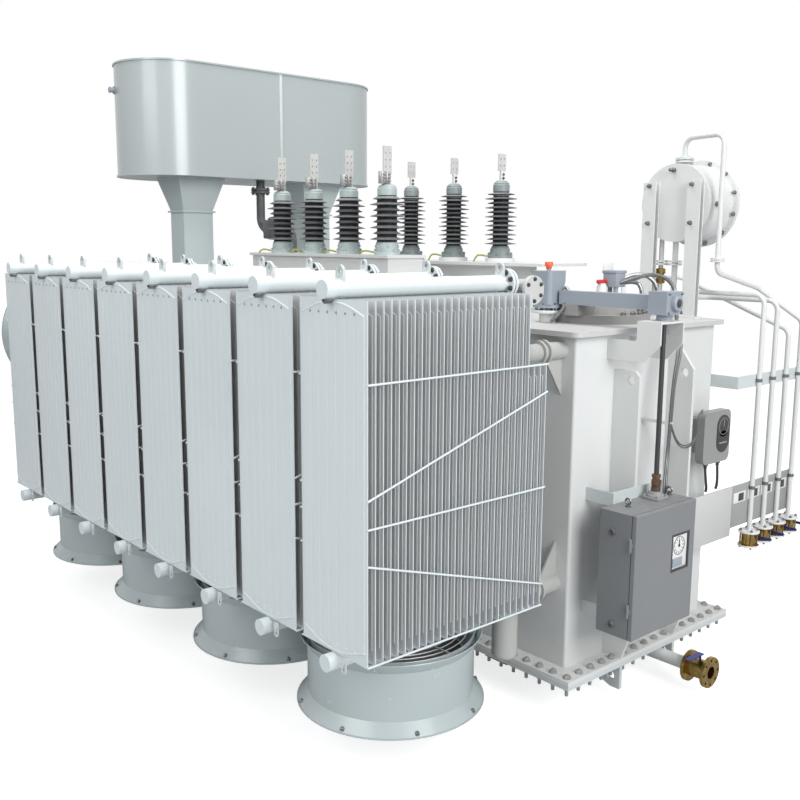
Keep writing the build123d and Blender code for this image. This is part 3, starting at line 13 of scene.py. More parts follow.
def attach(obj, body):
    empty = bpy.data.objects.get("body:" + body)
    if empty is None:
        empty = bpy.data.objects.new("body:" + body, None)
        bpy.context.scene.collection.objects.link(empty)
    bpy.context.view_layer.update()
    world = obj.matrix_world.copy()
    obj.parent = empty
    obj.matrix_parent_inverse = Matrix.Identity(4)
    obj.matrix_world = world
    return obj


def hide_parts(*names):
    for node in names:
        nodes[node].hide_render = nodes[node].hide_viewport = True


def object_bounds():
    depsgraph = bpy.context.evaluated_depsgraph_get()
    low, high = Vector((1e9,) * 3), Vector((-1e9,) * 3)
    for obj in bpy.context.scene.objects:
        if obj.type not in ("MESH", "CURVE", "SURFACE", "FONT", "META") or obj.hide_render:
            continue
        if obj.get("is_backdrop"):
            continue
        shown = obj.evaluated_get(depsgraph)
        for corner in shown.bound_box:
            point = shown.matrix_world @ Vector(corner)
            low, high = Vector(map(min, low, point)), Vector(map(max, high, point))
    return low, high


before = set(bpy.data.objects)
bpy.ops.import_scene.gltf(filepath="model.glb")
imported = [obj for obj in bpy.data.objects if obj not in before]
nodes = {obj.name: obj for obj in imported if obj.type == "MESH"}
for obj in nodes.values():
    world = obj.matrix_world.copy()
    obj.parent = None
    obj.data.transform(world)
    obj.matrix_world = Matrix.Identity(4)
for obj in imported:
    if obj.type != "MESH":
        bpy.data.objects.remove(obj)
cad_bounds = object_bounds()
print("nodes", len(nodes), "box", cad_bounds)

# %% [markdown]
# ## Camera
# The picture is taken from the corner between the radiators and the drive cabinet, a little above the cover.
# The camera could be turned by hand until the edges match. Here its place, turn and lens are numbers that were
# worked out from the edges in the photograph, so the view is exact.

# %% Camera
CAMERA_PLACE = (5.7751, -5.1047, 2.8346)
CAMERA_YAW = radians(48.7477)
CAMERA_PITCH = radians(9.4183)
CAMERA_ROLL = radians(0.3259)
LENS_MM = 42.58

level = cos(CAMERA_PITCH)
forward = Vector((-sin(CAMERA_YAW) * level, cos(CAMERA_YAW) * level, -sin(CAMERA_PITCH)))
level_right = Vector((cos(CAMERA_YAW), sin(CAMERA_YAW), 0))
level_up = level_right.cross(forward)
right = cos(CAMERA_ROLL) * level_right + sin(CAMERA_ROLL) * level_up
up = cos(CAMERA_ROLL) * level_up - sin(CAMERA_ROLL) * level_right
bpy.ops.object.camera_add(location=CAMERA_PLACE)
camera = bpy.context.object
camera.rotation_euler = Matrix((right, up, -forward)).transposed().to_euler()
camera.data.lens = LENS_MM
bpy.context.scene.camera = camera
print("camera", tuple(round(c, 3) for c in camera.location))

# %% [markdown]
# ## Node helpers
# The sky and every material are graphs of nodes. They could be wired node by node, but the same few steps come
# back in each graph. So each step is written once here, from a new group to a mix of two colours.

# %% Node helpers
def new_group(name, inputs, outputs):
    """Makes an empty shader node group with named sockets, and gives it and its two end nodes."""
    group = bpy.data.node_groups.new(name, "ShaderNodeTree")
    for label, kind, value in inputs:
        socket = group.interface.new_socket(label, in_out="INPUT", socket_type=kind)
        socket.default_value = value
    for label, kind in outputs:
        group.interface.new_socket(label, in_out="OUTPUT", socket_type=kind)
    return group, group.nodes.new("NodeGroupInput"), group.nodes.new("NodeGroupOutput")


def feed(tree, node, values):
    """Feeds a node's inputs, each by its name or number: an output is linked, and any other value is set."""
    for key, value in values.items():
        if isinstance(value, bpy.types.NodeSocket):
            tree.links.new(value, node.inputs[key])
        else:
            node.inputs[key].default_value = value
    return node


def add_node(tree, kind, values=None, **settings):
    """Adds a node, sets its properties and feeds its inputs."""
    node = tree.nodes.new(kind)
    for key, value in settings.items():
        setattr(node, key, value)
    return feed(tree, node, values or {})


def noise(tree, vector, scale, detail=3.0):
    """Noise texture that is read from a vector."""
    return add_node(tree, "ShaderNodeTexNoise", {"Vector": vector, "Scale": scale, "Detail": detail}).outputs[0]


def split(tree, vector):
    """The three parts of a vector."""
    return add_node(tree, "ShaderNodeSeparateXYZ", {0: vector}).outputs


def combine(tree, operation, first, second):
    """Two values made one, such as their product or the larger of them."""
    return add_node(tree, "ShaderNodeMath", {0: first, 1: second}, operation=operation).outputs[0]


def spread(tree, value, low, high, to_low, to_high):
    """A value moved from one span to another."""
    ends = dict(enumerate((value, low, high, to_low, to_high)))
    return add_node(tree, "ShaderNodeMapRange", ends).outputs[0]


def mix_colour(tree, factor, first, second):
    """A mix of two colours. The Mix node takes them at inputs 6 and 7 and gives a colour at output 2."""
    return add_node(tree, "ShaderNodeMix", {0: factor, 6: first, 7: second}, data_type="RGBA").outputs[2]


print("node helpers ready")

# %% [markdown]
# ## Sky
# The sky shows white to the camera but lights the machine at a lower level. A scene has only one sky, so the
# Light Path node tells what kind of ray asks, and a mix of two backgrounds gives each kind its own.

# %% Sky
SKY_LIGHT = 0.36
WHITE = (1, 1, 1, 1)

bpy.context.scene.view_settings.view_transform = "Standard"
world = bpy.data.worlds.new("studio_sky")
bpy.context.scene.world = world
world.use_nodes = True
sky = world.node_tree
sky.nodes.clear()
sky_rays = add_node(sky, "ShaderNodeLightPath").outputs
sky_bright = sky_rays["Is Camera Ray"]
for ray in ("Is Glossy Ray", "Is Transmission Ray"):
    sky_bright = combine(sky, "MAXIMUM", sky_bright, sky_rays[ray])
sky_lit = add_node(sky, "ShaderNodeBackground", {"Color": WHITE, "Strength": SKY_LIGHT}).outputs[0]
sky_seen = add_node(sky, "ShaderNodeBackground", {"Color": WHITE}).outputs[0]
sky_mix = add_node(sky, "ShaderNodeMixShader", {0: sky_bright, 1: sky_lit, 2: sky_seen}).outputs[0]
add_node(sky, "ShaderNodeOutputWorld", {"Surface": sky_mix})
print("sky", SKY_LIGHT)

# %% [markdown]
# ## Lamps
# One lamp faces the radiators and one the cabinet, so the tank wall behind the radiators stays in their shade.
# The third hangs above. One strong lamp could do it all, but its shadows would be hard. Wide squares draw soft
# ones.

# %% Lamps
FRONT_POWER, FRONT_PLACE = 380.0, (2.0, -10.5, 7.5)
END_POWER, END_PLACE = 940.0, (11.5, -2.0, 6.5)
SIDE_SIZE = 6.0
TOP_POWER, TOP_PLACE, TOP_SIZE = 550.0, (0.0, -1.0, 10.0), 7.0


def soft_lamp(name, place, aim, power, size):
    """Adds a square area lamp at a place, turned towards a point."""
    bpy.ops.object.light_add(type="AREA", location=place)
    lamp = bpy.context.object
    lamp.name = name
    lamp.rotation_euler = (Vector(aim) - Vector(place)).to_track_quat("-Z", "Y").to_euler()
    lamp.data.energy = power
    lamp.data.size = size
    return lamp


soft_lamp("front_lamp", FRONT_PLACE, (0, -1, 1.8), FRONT_POWER, SIDE_SIZE)
soft_lamp("end_lamp", END_PLACE, (0, 0, 1.8), END_POWER, SIDE_SIZE)
soft_lamp("top_lamp", TOP_PLACE, (0, -0.5, 0), TOP_POWER, TOP_SIZE)
print("lamps", FRONT_POWER, END_POWER, TOP_POWER)

# %% [markdown]
# ## Floor
# The floor catches the soft shadow under the machine. It could be a white plane in strong light, but that would
# throw too much light back up. A grey floor that glows for the camera alone looks white and lights little.

# %% Floor
FLOOR_SIZE = 120.0
FLOOR_SHADE = (0.55, 0.56, 0.57, 1)
FLOOR_GLOW, FLOOR_ROUGHNESS = 0.76, 0.9

bpy.ops.mesh.primitive_plane_add(size=FLOOR_SIZE)
floor = bpy.context.object
floor.name = "floor"
floor_paint = bpy.data.materials.new("floor_paint")
floor_paint.use_nodes = True
floor_tree = floor_paint.node_tree
floor_rays = add_node(floor_tree, "ShaderNodeLightPath").outputs
floor_glow = spread(floor_tree, floor_rays["Is Camera Ray"], 0, 1, 0, FLOOR_GLOW)
feed(floor_tree, floor_tree.nodes["Principled BSDF"], {
    "Base Color": FLOOR_SHADE, "Roughness": FLOOR_ROUGHNESS, "Emission Color": WHITE,
    "Emission Strength": floor_glow})
floor.data.materials.append(floor_paint)
floor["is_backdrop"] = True
print("floor", FLOOR_SIZE, "m wide")

# %% [markdown]
# ## Paint
# Nearly all of the transformer is sprayed with pale grey paint. Sprayed paint is never one flat colour: it is
# darker in patches, dust lies on what faces up, and the film has a fine orange-peel skin. Many finishes share
# those effects, so they are one node group with its own inputs.

# %% Node group for sprayed paint
DUST_COLOUR = (0.60, 0.58, 0.54, 1)
PATCH_SCALE, SPECK_SCALE, PEEL_SCALE = 1.4, 9.0, 260.0

spray, spray_in, spray_out = new_group(
    "sprayed_paint",
    [("Paint", "NodeSocketColor", (0.6, 0.65, 0.66, 1)), ("Worn", "NodeSocketColor", (0.5, 0.54, 0.55, 1)),
     ("Patches", "NodeSocketFloat", PATCH_SCALE), ("Dust", "NodeSocketFloat", 0.25)],
    [("Color", "NodeSocketColor"), ("Roughness", "NodeSocketFloat"), ("Height", "NodeSocketFloat")],
)
spray_place = add_node(spray, "ShaderNodeTexCoord").outputs["Object"]
spray_patch = noise(spray, spray_place, spray_in.outputs["Patches"])
spray_share = spread(spray, spray_patch, 0.35, 0.75, 0, 0.6)
spray_tone = mix_colour(spray, spray_share, spray_in.outputs["Paint"], spray_in.outputs["Worn"])
spray_facing = split(spray, add_node(spray, "ShaderNodeNewGeometry").outputs["Normal"])
spray_level = spread(spray, spray_facing["Z"], 0.6, 1.0, 0, 1)
spray_speck = noise(spray, spray_place, SPECK_SCALE, 6.0)
spray_grain = spread(spray, spray_speck, 0.4, 0.7, 0.2, 1)
spray_dust = combine(spray, "MULTIPLY", spray_level, spray_grain)
spray_layer = combine(spray, "MULTIPLY", spray_dust, spray_in.outputs["Dust"])
feed(spray, spray_out, {
    "Color": mix_colour(spray, spray_layer, spray_tone, DUST_COLOUR),
    "Roughness": spread(spray, spray_speck, 0.3, 0.8, 0.39, 0.45),
    "Height": noise(spray, spray_place, PEEL_SCALE, 2.0)})
print("group", spray.name)

# %% [markdown]
# ## Finishes
# Each finish is a Principled shader fed by the paint group with its own colours. What is the same all over,
# such as Metallic, is set straight on the shader. One helper makes them all, so a finish is a line to read.

# %% Finish helper
SKIN_DEPTH = 0.002


def painted(name, paint, worn, patches=1.4, dust=0.25, bump=0.04, metallic=0.0, gloss=0.5, rough=0.0):
    """Painted or bare metal: the paint group feeds colour, roughness and a faint orange-peel bump."""
    material = bpy.data.materials.new(name)
    material.use_nodes = True
    tree = material.node_tree
    colours = {"Paint": (*paint, 1), "Worn": (*worn, 1), "Patches": patches, "Dust": dust}
    coat = add_node(tree, "ShaderNodeGroup", colours, node_tree=spray).outputs
    film = add_node(tree, "ShaderNodeMath", {0: coat["Roughness"], 1: rough}, operation="ADD", use_clamp=True)
    relief = {"Strength": bump, "Distance": SKIN_DEPTH, "Height": coat["Height"]}
    skin = add_node(tree, "ShaderNodeBump", relief)
    feed(tree, tree.nodes["Principled BSDF"], {
        "Base Color": coat["Color"], "Metallic": metallic, "Specular IOR Level": gloss,
        "Roughness": film.outputs[0], "Normal": skin.outputs["Normal"]})
    return material


print("finish helper ready")

# %% [markdown]
# ## Paints
# The maker uses a pale paint for the radiators, tank and drums, a slate one for the gearbox and a dark grey one
# for the cabinet. Copies of the pale paint are a little lighter or darker part by part, and the darker stub and
# plate paints are painted shade for parts that stand in shade.

# %% Paints
pale_paint = painted("pale_paint", (0.60, 0.645, 0.65), (0.53, 0.575, 0.58))
panel_paint = painted("panel_paint", (0.69, 0.755, 0.775), (0.62, 0.685, 0.71), patches=0.9)
tank_paint = painted("tank_paint", (0.70, 0.715, 0.71), (0.63, 0.645, 0.64))
cover_paint = painted("cover_paint", (0.58, 0.585, 0.58), (0.50, 0.505, 0.50))
# Painted shade: the collector stubs are darker for the shade of the radiator bank around them.
shaded_stub_paint = painted("shaded_stub_paint", (0.46, 0.465, 0.45), (0.40, 0.405, 0.39))
head_paint = painted("head_paint", (0.29, 0.29, 0.28), (0.22, 0.22, 0.21), patches=8.0)
drum_paint = painted("conservator_paint", (0.42, 0.47, 0.475), (0.38, 0.43, 0.435), patches=0.8,
                     gloss=0.7, rough=-0.2)
pedestal_paint = painted("pedestal_paint", (0.57, 0.64, 0.645), (0.51, 0.575, 0.58), patches=0.8)
fan_paint = painted("fan_paint", (0.43, 0.495, 0.505), (0.39, 0.45, 0.46), patches=1.2,
                    gloss=0.7, rough=-0.16)
white_paint = painted("white_paint", (0.78, 0.79, 0.79), (0.70, 0.71, 0.71), patches=3.0)
case_paint = painted("case_paint", (0.205, 0.213, 0.222), (0.178, 0.186, 0.195), dust=0.15)
gauge_paint = painted("gauge_paint", (0.30, 0.305, 0.305), (0.25, 0.255, 0.255), dust=0.15)
gear_paint = painted("gear_paint", (0.315, 0.355, 0.405), (0.265, 0.305, 0.35), dust=0.15)
dark_paint = painted("dark_paint", (0.035, 0.036, 0.038), (0.06, 0.06, 0.06), dust=0.1)
lever_paint = painted("lever_paint", (0.015, 0.03, 0.20), (0.012, 0.025, 0.14), dust=0.05)
red_paint = painted("red_paint", (0.62, 0.03, 0.03), (0.45, 0.02, 0.02), patches=20.0, dust=0.05)
collar_paint = painted("collar_paint", (0.44, 0.52, 0.52), (0.37, 0.44, 0.45), patches=9.0)
ring_paint = painted("ring_paint", (0.25, 0.29, 0.295), (0.20, 0.235, 0.24), patches=9.0)
relay_paint = painted("relay_paint", (0.09, 0.095, 0.10), (0.14, 0.145, 0.15), patches=8.0)
# Painted shade: this darker grey is for the shaded far part of the pipe plate.
shaded_plate_paint = painted("shaded_plate_paint", (0.34, 0.345, 0.345), (0.29, 0.295, 0.295))
print("paints", len(bpy.data.materials))

# %% [markdown]
# ## Metals, rubber and plastic
# Bolts, valves and terminals are bare metal, the sheds of the bushings are rubber and one cap is plastic. The
# same helper serves: a high Metallic makes metal of it, and small patches make it look handled.

# %% Metals, rubber and plastic
cap_plastic = painted("cap_plastic", (0.86, 0.13, 0.05), (0.75, 0.10, 0.04), patches=20.0, dust=0.05)
brass_metal = painted("brass_metal", (0.44, 0.29, 0.085), (0.08, 0.06, 0.03), patches=22.0, dust=0.1,
                      metallic=1.0, rough=-0.16)
tin_metal = painted("tin_metal", (0.66, 0.66, 0.65), (0.54, 0.54, 0.53), patches=9.0, dust=0.1,
                    metallic=0.3)
bolt_steel = painted("bolt_steel", (0.24, 0.245, 0.25), (0.10, 0.10, 0.10), patches=30.0, dust=0.05,
                     metallic=0.8, rough=-0.1)
wire_steel = painted("wire_steel", (0.16, 0.16, 0.165), (0.09, 0.09, 0.09), patches=9.0, dust=0.05,
                     metallic=0.5)
guard_wire = painted("guard_wire", (0.50, 0.51, 0.51), (0.36, 0.36, 0.36), patches=9.0, metallic=0.3)
zinc_steel = painted("zinc_steel", (0.44, 0.44, 0.43), (0.20, 0.20, 0.20), patches=30.0, dust=0.05,
                     metallic=0.5)
# Painted shade: the fan blades are dark grey for the shade inside the casings.
shaded_blade_metal = painted("shaded_blade_metal", (0.20, 0.205, 0.21), (0.15, 0.155, 0.16), patches=4.0)
# Painted shade: the bushing core is near-black for the shade between the sheds; it is dark rubber itself.
shaded_core_rubber = painted("shaded_core_rubber", (0.012, 0.012, 0.014), (0.02, 0.02, 0.023), patches=6.0, dust=0.02,
                      gloss=0.15)
shed_rubber = painted("shed_rubber", (0.165, 0.17, 0.18), (0.125, 0.13, 0.14), patches=6.0)
copper_metal = painted("copper_metal", (0.22, 0.125, 0.075), (0.04, 0.032, 0.028), patches=40.0, dust=0.05,
                       metallic=0.9)
strap_cover = painted("strap_cover", (0.34, 0.36, 0.05), (0.07, 0.16, 0.04), patches=60.0, dust=0.05)
print("finishes", len(bpy.data.materials))

# %% [markdown]
# ## Finish of each node
# Every CAD node gets one finish. A table of names is easier to change than a line for each node, and what is
# not in the table has the pale paint.

# %% Finish of each node
finish_of = {
    "drive_cabinet": case_paint, "drive_cabinet_door": case_paint, "thermometer_box": gauge_paint,
    "bevel_gearbox": gear_paint, "shaft_guard": gear_paint, "relief_valve": gear_paint,
    "drive_shaft": dark_paint, "valve_levers": lever_paint, "oil_valves": brass_metal,
    "terminal_palms": tin_metal, "bushings": shed_rubber,
    "conservator": drum_paint, "conservator_pedestals": pedestal_paint, "base_bearers": dark_paint,
    "gas_relay_pipe": relay_paint, "tank_body": tank_paint, "tank_cover": cover_paint,
    "bushing_turrets": tank_paint, "tap_conservator": tank_paint, "tap_conservator_posts": tank_paint,
    "gearbox_bracket": tank_paint, "oil_pipes": tank_paint, "oil_collectors": cover_paint,
    "collector_stubs": shaded_stub_paint, "tap_changer_head": head_paint,
}
for name, node in nodes.items():
    finish = finish_of.get(name, pale_paint)
    if name.startswith("radiator_"):
        finish = panel_paint
    elif "casing" in name:
        finish = fan_paint
    elif "rotor" in name:
        finish = shaded_blade_metal
    node.data.materials.clear()
    node.data.materials.append(finish)
print("finished", len(nodes), "nodes")

# %% [markdown]
# ## Shade inside the radiator bank
# The inner faces between the panels lie deep in shade, and that shade is painted into their colour as a darker
# grey. This could be a second material on some faces, but the faces of a CAD node stay as they are. A mask that
# reads place and facing does the same: it is one inside the bank and nought all round it.

# %% Painted shade inside the bank
depth, _, depth_out = new_group("bank_gap_shade", [], [("Inside", "NodeSocketFloat")])
depth_place = split(depth, add_node(depth, "ShaderNodeTexCoord").outputs["Object"])
depth_facing = split(depth, add_node(depth, "ShaderNodeNewGeometry").outputs["Normal"])
BANK_LIMITS = [
    (depth_place["Y"], -2.428, -2.420, 0, 1), (depth_place["X"], 2.484, 2.494, 1, 0),
    (depth_place["X"], -2.114, -2.104, 0, 1), (depth_place["Z"], 0.842, 0.852, 0, 1),
    (depth_place["Z"], 2.570, 2.576, 1, 0), (depth_facing["Z"], 0.3, 0.6, 1, 0),
]
inside = spread(depth, *BANK_LIMITS[0])
for limit in BANK_LIMITS[1:]:
    inside = combine(depth, "MULTIPLY", inside, spread(depth, *limit))
feed(depth, depth_out, {"Inside": inside})

# Painted shade: this grey stands in for the shade between the panels, and the mask puts it on their inner
# faces.
GAP_SHADE_PAINT = (0.60, 0.605, 0.61, 1)
panel_tree = panel_paint.node_tree
panel_shader = panel_tree.nodes["Principled BSDF"]
coated = panel_shader.inputs["Base Color"].links[0].from_socket
panel_inside = add_node(panel_tree, "ShaderNodeGroup", node_tree=depth).outputs["Inside"]
feed(panel_tree, panel_shader, {"Base Color": mix_colour(panel_tree, panel_inside, coated, GAP_SHADE_PAINT)})
print("bank depth", len(BANK_LIMITS), "limits")

# %% [markdown]
# ## Lathe and block
# Bolts, plugs, flanges and caps are turned on a lathe, and the same idea works here. A disc is drawn up ring by
# ring, and each new ring is resized, so a short list of radius and height makes the whole form. Flat fittings
# start as a cube whose edges are bevelled.

# %% Lathe and block
MM = 0.001
SMOOTH = radians(35)
TURNS = {
    "+Z": Matrix.Identity(4), "-Z": Matrix.Rotation(radians(180), 4, "X"),
    "+X": Matrix.Rotation(radians(90), 4, "Y"), "-X": Matrix.Rotation(radians(-90), 4, "Y"),
    "+Y": Matrix.Rotation(radians(-90), 4, "X"), "-Y": Matrix.Rotation(radians(90), 4, "X"),
}


def at(x, y, z, way="+Z"):
    """Place of a copy: its foot at a point in millimetres and its axis turned one of six ways."""
    return Matrix.Translation(Vector((x, y, z)) * MM) @ TURNS[way]


def placed(piece, *place):
    """Moves a piece's mesh from the origin to a place."""
    piece.data.transform(at(*place))
    return piece


def choose(*pieces):
    """Selects these pieces alone, the first as the active one, for the next operator."""
    bpy.ops.object.select_all(action="DESELECT")
    for piece in pieces:
        piece.select_set(True)
    if pieces:
        bpy.context.view_layer.objects.active = pieces[0]


def turned(profile, sides=24):
    """Turns (radius, height) points in millimetres about the upright axis, as on a lathe."""
    choose()
    radius, height = profile[0]
    bpy.ops.mesh.primitive_circle_add(
        vertices=sides, radius=radius * MM, fill_type="NGON", location=(0, 0, height * MM)
    )
    bpy.ops.object.transform_apply()
    bpy.ops.object.mode_set(mode="EDIT")
    bpy.ops.mesh.select_all(action="SELECT")
    for next_radius, next_height in profile[1:]:
        rise = (0, 0, (next_height - height) * MM)
        bpy.ops.mesh.extrude_region_move(TRANSFORM_OT_translate={"value": rise, "orient_type": "GLOBAL"})
        share = next_radius / radius
        bpy.ops.transform.resize(value=(share, share, 1), center_override=(0, 0, next_height * MM))
        radius, height = next_radius, next_height
    bpy.ops.mesh.select_all(action="SELECT")
    bpy.ops.mesh.normals_make_consistent(inside=False)
    bpy.ops.object.mode_set(mode="OBJECT")
    bpy.ops.object.shade_smooth_by_angle(angle=SMOOTH)
    return bpy.context.object


def block(x, y, z, edge=2.0):
    """Block between low and high ends along each axis in millimetres, its edges eased by a bevel."""
    choose()
    spans = (x, y, z)
    bpy.ops.mesh.primitive_cube_add(size=1, location=[(low + high) / 2 * MM for low, high in spans])
    piece = bpy.context.object
    piece.scale = [(high - low) * MM for low, high in spans]
    bpy.ops.object.transform_apply()
    bpy.ops.object.mode_set(mode="EDIT")
    bpy.ops.mesh.select_all(action="SELECT")
    bpy.ops.mesh.bevel(offset=edge * MM, segments=2, affect="EDGES")
    bpy.ops.object.mode_set(mode="OBJECT")
    bpy.ops.object.shade_smooth_by_angle(angle=SMOOTH)
    return piece


print("lathe and block ready")

# %% [markdown]
# ## Bent pipes
# Conduits, straps and beads follow a bent line. A curve with a round section bends smoothly past a few guide
# points, and it is made into a mesh at the end.

# %% Bent pipes
def bent_pipe(points, radius):
    """Thin pipe along a smooth line past guide points in millimetres."""
    line = bpy.data.curves.new("pipe_line", "CURVE")
    line.dimensions = "3D"
    line.bevel_depth = radius * MM
    line.bevel_resolution = 2
    line.use_fill_caps = True
    spline = line.splines.new("NURBS")
    spline.points.add(len(points) - 1)
    for knot, point in zip(spline.points, points):
        knot.co = (*(number * MM for number in point), 1)
    spline.order_u = 3
    spline.use_endpoint_u = True
    spline.resolution_u = 6
    piece = bpy.data.objects.new("pipe_line", line)
    bpy.context.collection.objects.link(piece)
    choose(piece)
    bpy.ops.object.convert(target="MESH")
    bpy.ops.object.shade_smooth_by_angle(angle=SMOOTH)
    return bpy.context.object


print("pipe tool ready")

# %% [markdown]
# ## Copies
# What repeats is modelled once and copied to its places. The copies are joined into one piece, which then gets
# its finish and the body that it moves with.

# %% Join, copy and fit
def joined(parts, name):
    """Joins pieces into one and names it."""
    choose(*parts)
    if len(parts) > 1:
        bpy.ops.object.join()
    parts[0].name = name
    return parts[0]


def copies(model, places):
    """Copies a model to its places, each copy with its own mesh, and removes the model."""
    twins = []
    for place in places:
        twin = model.copy()
        twin.data = model.data.copy()
        twin.data.transform(place)
        bpy.context.collection.objects.link(twin)
        twins.append(twin)
    bpy.data.objects.remove(model)
    return twins


def fit(parts, name, finish, body="transformer"):
    """Joins parts into a named piece and gives it its material and the body that it moves with."""
    piece = joined(parts, name)
    piece.data.materials.clear()
    piece.data.materials.append(finish)
    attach(piece, body)
    print(piece.name, len(piece.data.polygons), "faces")
    return piece


print("copy tools ready")

# %% [markdown]
# ## Bolt heads and rings of places
# One bolt serves the whole machine: a washer, a hexagon and the end of the stud, all turned, the hexagon with
# six sides only. A small helper puts places round a circle, so a ring of bolts takes one line for any flange.

# %% Bolt heads and rings of places
RING_SPANS = {"X": ((0, 1, 0), (0, 0, 1)), "Y": ((1, 0, 0), (0, 0, 1)), "Z": ((1, 0, 0), (0, 1, 0))}


def hex_head(across, height):
    """Bolt head or nut: a round washer under a hexagon with eased corners, and the end of its stud."""
    washer_r, corner_r, stud_r = 0.66 * across, 0.577 * across, 0.3 * across
    washer = turned([(washer_r, 0), (washer_r, 0.2 * height), (0.94 * washer_r, 0.25 * height)], 16)
    head = turned([(corner_r, 0.1 * height), (corner_r, 0.88 * height), (0.86 * corner_r, height)], 6)
    stud = turned([(stud_r, 0.8 * height), (stud_r, 1.3 * height), (0.8 * stud_r, 1.4 * height)], 8)
    return joined([washer, head, stud], "hex_head")


def ring_places(centre, radius, count, way, start=0.0):
    """Places round a circle that lies square to one of the six ways."""
    first, second = (Vector(span) for span in RING_SPANS[way[1]])
    places = []
    for step in range(count):
        angle = radians(start + 360 * step / count)
        point = Vector(centre) + radius * (cos(angle) * first + sin(angle) * second)
        places.append(at(*point, way))
    return places


print("bolt tools ready")

# %% [markdown]
# ## Bolts of the base flange
# The tank stands on a flange that is bolted to the floor plate all round, with a head above and a nut below.
# One bolt copied along four rows is quicker than many, and every copy stays at its true pitch. A bolt that
# would meet a rib moves aside.

# %% Base flange bolts
FLANGE_TOP, FLOOR_UNDERSIDE = 270, 215
END_ROW_X, SIDE_ROW_Y = 2445, 842
END_BOLTS, SIDE_BOLTS = 16, 47
RIB_LINES, RIB_ROOM = (-362, 217), 45
DRAIN_Y, DRAIN_ROOM = 87, 80


def clear_of_ribs(y):
    """Moves a bolt of an end row aside when a rib stands there."""
    for rib in RIB_LINES:
        if abs(y - rib) < RIB_ROOM:
            return rib + (RIB_ROOM if y > rib else -RIB_ROOM)
    return y


end_row = [clear_of_ribs(SIDE_ROW_Y * (2 * i / (END_BOLTS - 1) - 1)) for i in range(END_BOLTS)]
side_row = [END_ROW_X * (2 * i / (SIDE_BOLTS - 1) - 1) for i in range(1, SIDE_BOLTS - 1)]
spots = [(x, y) for x in (-END_ROW_X, END_ROW_X) for y in end_row]
spots += [(x, y) for y in (-SIDE_ROW_Y, SIDE_ROW_Y) for x in side_row]
upper_places = [at(x, y, FLANGE_TOP) for x, y in spots]
lower_places = [at(x, y, FLOOR_UNDERSIDE, "-Z") for x, y in spots if x < 0 or abs(y - DRAIN_Y) > DRAIN_ROOM]
fit(copies(hex_head(38, 19), upper_places + lower_places), "base_bolts", zinc_steel)
long_stud = turned([(11, 15), (11, 54), (9, 57)], 8)
fit(copies(long_stud, lower_places), "base_studs", zinc_steel)

# %% [markdown]
# ## Lifting eyes
# Each radiator is lifted by two drilled eyes on its upper header. An eye is a flat plate with a round top, so
# it is made as the maker would: a disc is joined to a strip, and then a hole is cut.

# %% Lifting eyes
FIRST_RADIATOR_X, RADIATOR_PITCH = -1861, 586
RADIATOR_XS = [FIRST_RADIATOR_X + RADIATOR_PITCH * k for k in range(8)]
EYE_YS, EYE_Z = (-2380, -1290), 2666


def cut(piece, tool, operation="DIFFERENCE"):
    """Cuts a tool's form out of a piece, or adds it, and removes the tool."""
    choose(piece)
    bpy.ops.object.modifier_add(type="BOOLEAN")
    step = piece.modifiers[-1]
    step.operation = operation
    step.object = tool
    bpy.ops.object.modifier_apply(modifier=step.name)
    bpy.data.objects.remove(tool)
    return piece


def drilled_eye(half, foot, rise, thick, hole):
    """Upright lug that faces along Y: a strip with a round top and a hole through it."""
    strip = block((-half, half), (-thick / 2, thick / 2), (-foot, rise), 0.5)
    disc = placed(turned([(half, 0), (half, thick)]), 0, thick / 2, rise, "-Y")
    drill = placed(turned([(hole, 0), (hole, 3 * thick)], 16), 0, 1.5 * thick, rise, "-Y")
    return cut(cut(strip, disc, "UNION"), drill)


eye_places = [at(x, y, EYE_Z) for x in RADIATOR_XS for y in EYE_YS]
fit(copies(drilled_eye(30, 30, 38, 14, 12), eye_places), "lifting_eyes", pale_paint)

# %% [markdown]
# ## Vent plugs and lugs
# Air leaves a radiator through a plug under the front cap of its upper header, and a drilled lug hangs beside
# the lower cap. The plug is turned. The lug is a small eye upside down, so the same helper makes it.

# %% Vent plugs and lugs
CAP_Y = -2440

vent_plug = turned([(19, 0), (19, 34), (15, 38), (11, 38), (11, 33)])
vent_places = [at(x, CAP_Y, 2574, "-Y") for x in RADIATOR_XS]
fit(copies(vent_plug, vent_places), "vent_plugs", bolt_steel)
lug = drilled_eye(19, 62, 0, 6, 8)
lug.data.transform(Matrix.Rotation(radians(180), 4, "X"))
fit(copies(lug, [at(x + 92, CAP_Y, 772) for x in RADIATOR_XS]), "hanging_lugs", pale_paint)

# %% [markdown]
# ## Beads and spot welds
# A front panel has a pressed bead above and below, and a row of spot welds beside it. A bump in the material
# could hint at them, but real forms catch the light better. A bead is a thin pipe bent to an arch, and a weld
# is a shallow disc with a few sides. The welds bear the panel paint, so the white of the lower row is a painted
# highlight and the slate grey of the upper row is painted shade.

# %% Beads and spot welds
BEAD_Y, BEAD_TOP_Z, BEAD_LOW_Z, BEAD_R = -2430, 2577, 835, 6
ARCH = [(-238, 72), (-150, 36), (-60, 14), (60, 14), (150, 36), (238, 72)]
WELD_Y, WELD_LOW_Z, WELD_TOP_Z = -2428.5, 886, 2514
SEAMS = [side * offset for side in (-1, 1) for offset in (34, 102, 170)]

beads = []
for z, sign in ((BEAD_TOP_Z, -1), (BEAD_LOW_Z, 1)):
    for x in RADIATOR_XS:
        beads.append(bent_pipe([(x + side, BEAD_Y, z + sign * drop) for side, drop in ARCH], BEAD_R))
fit(beads, "panel_beads", panel_paint)
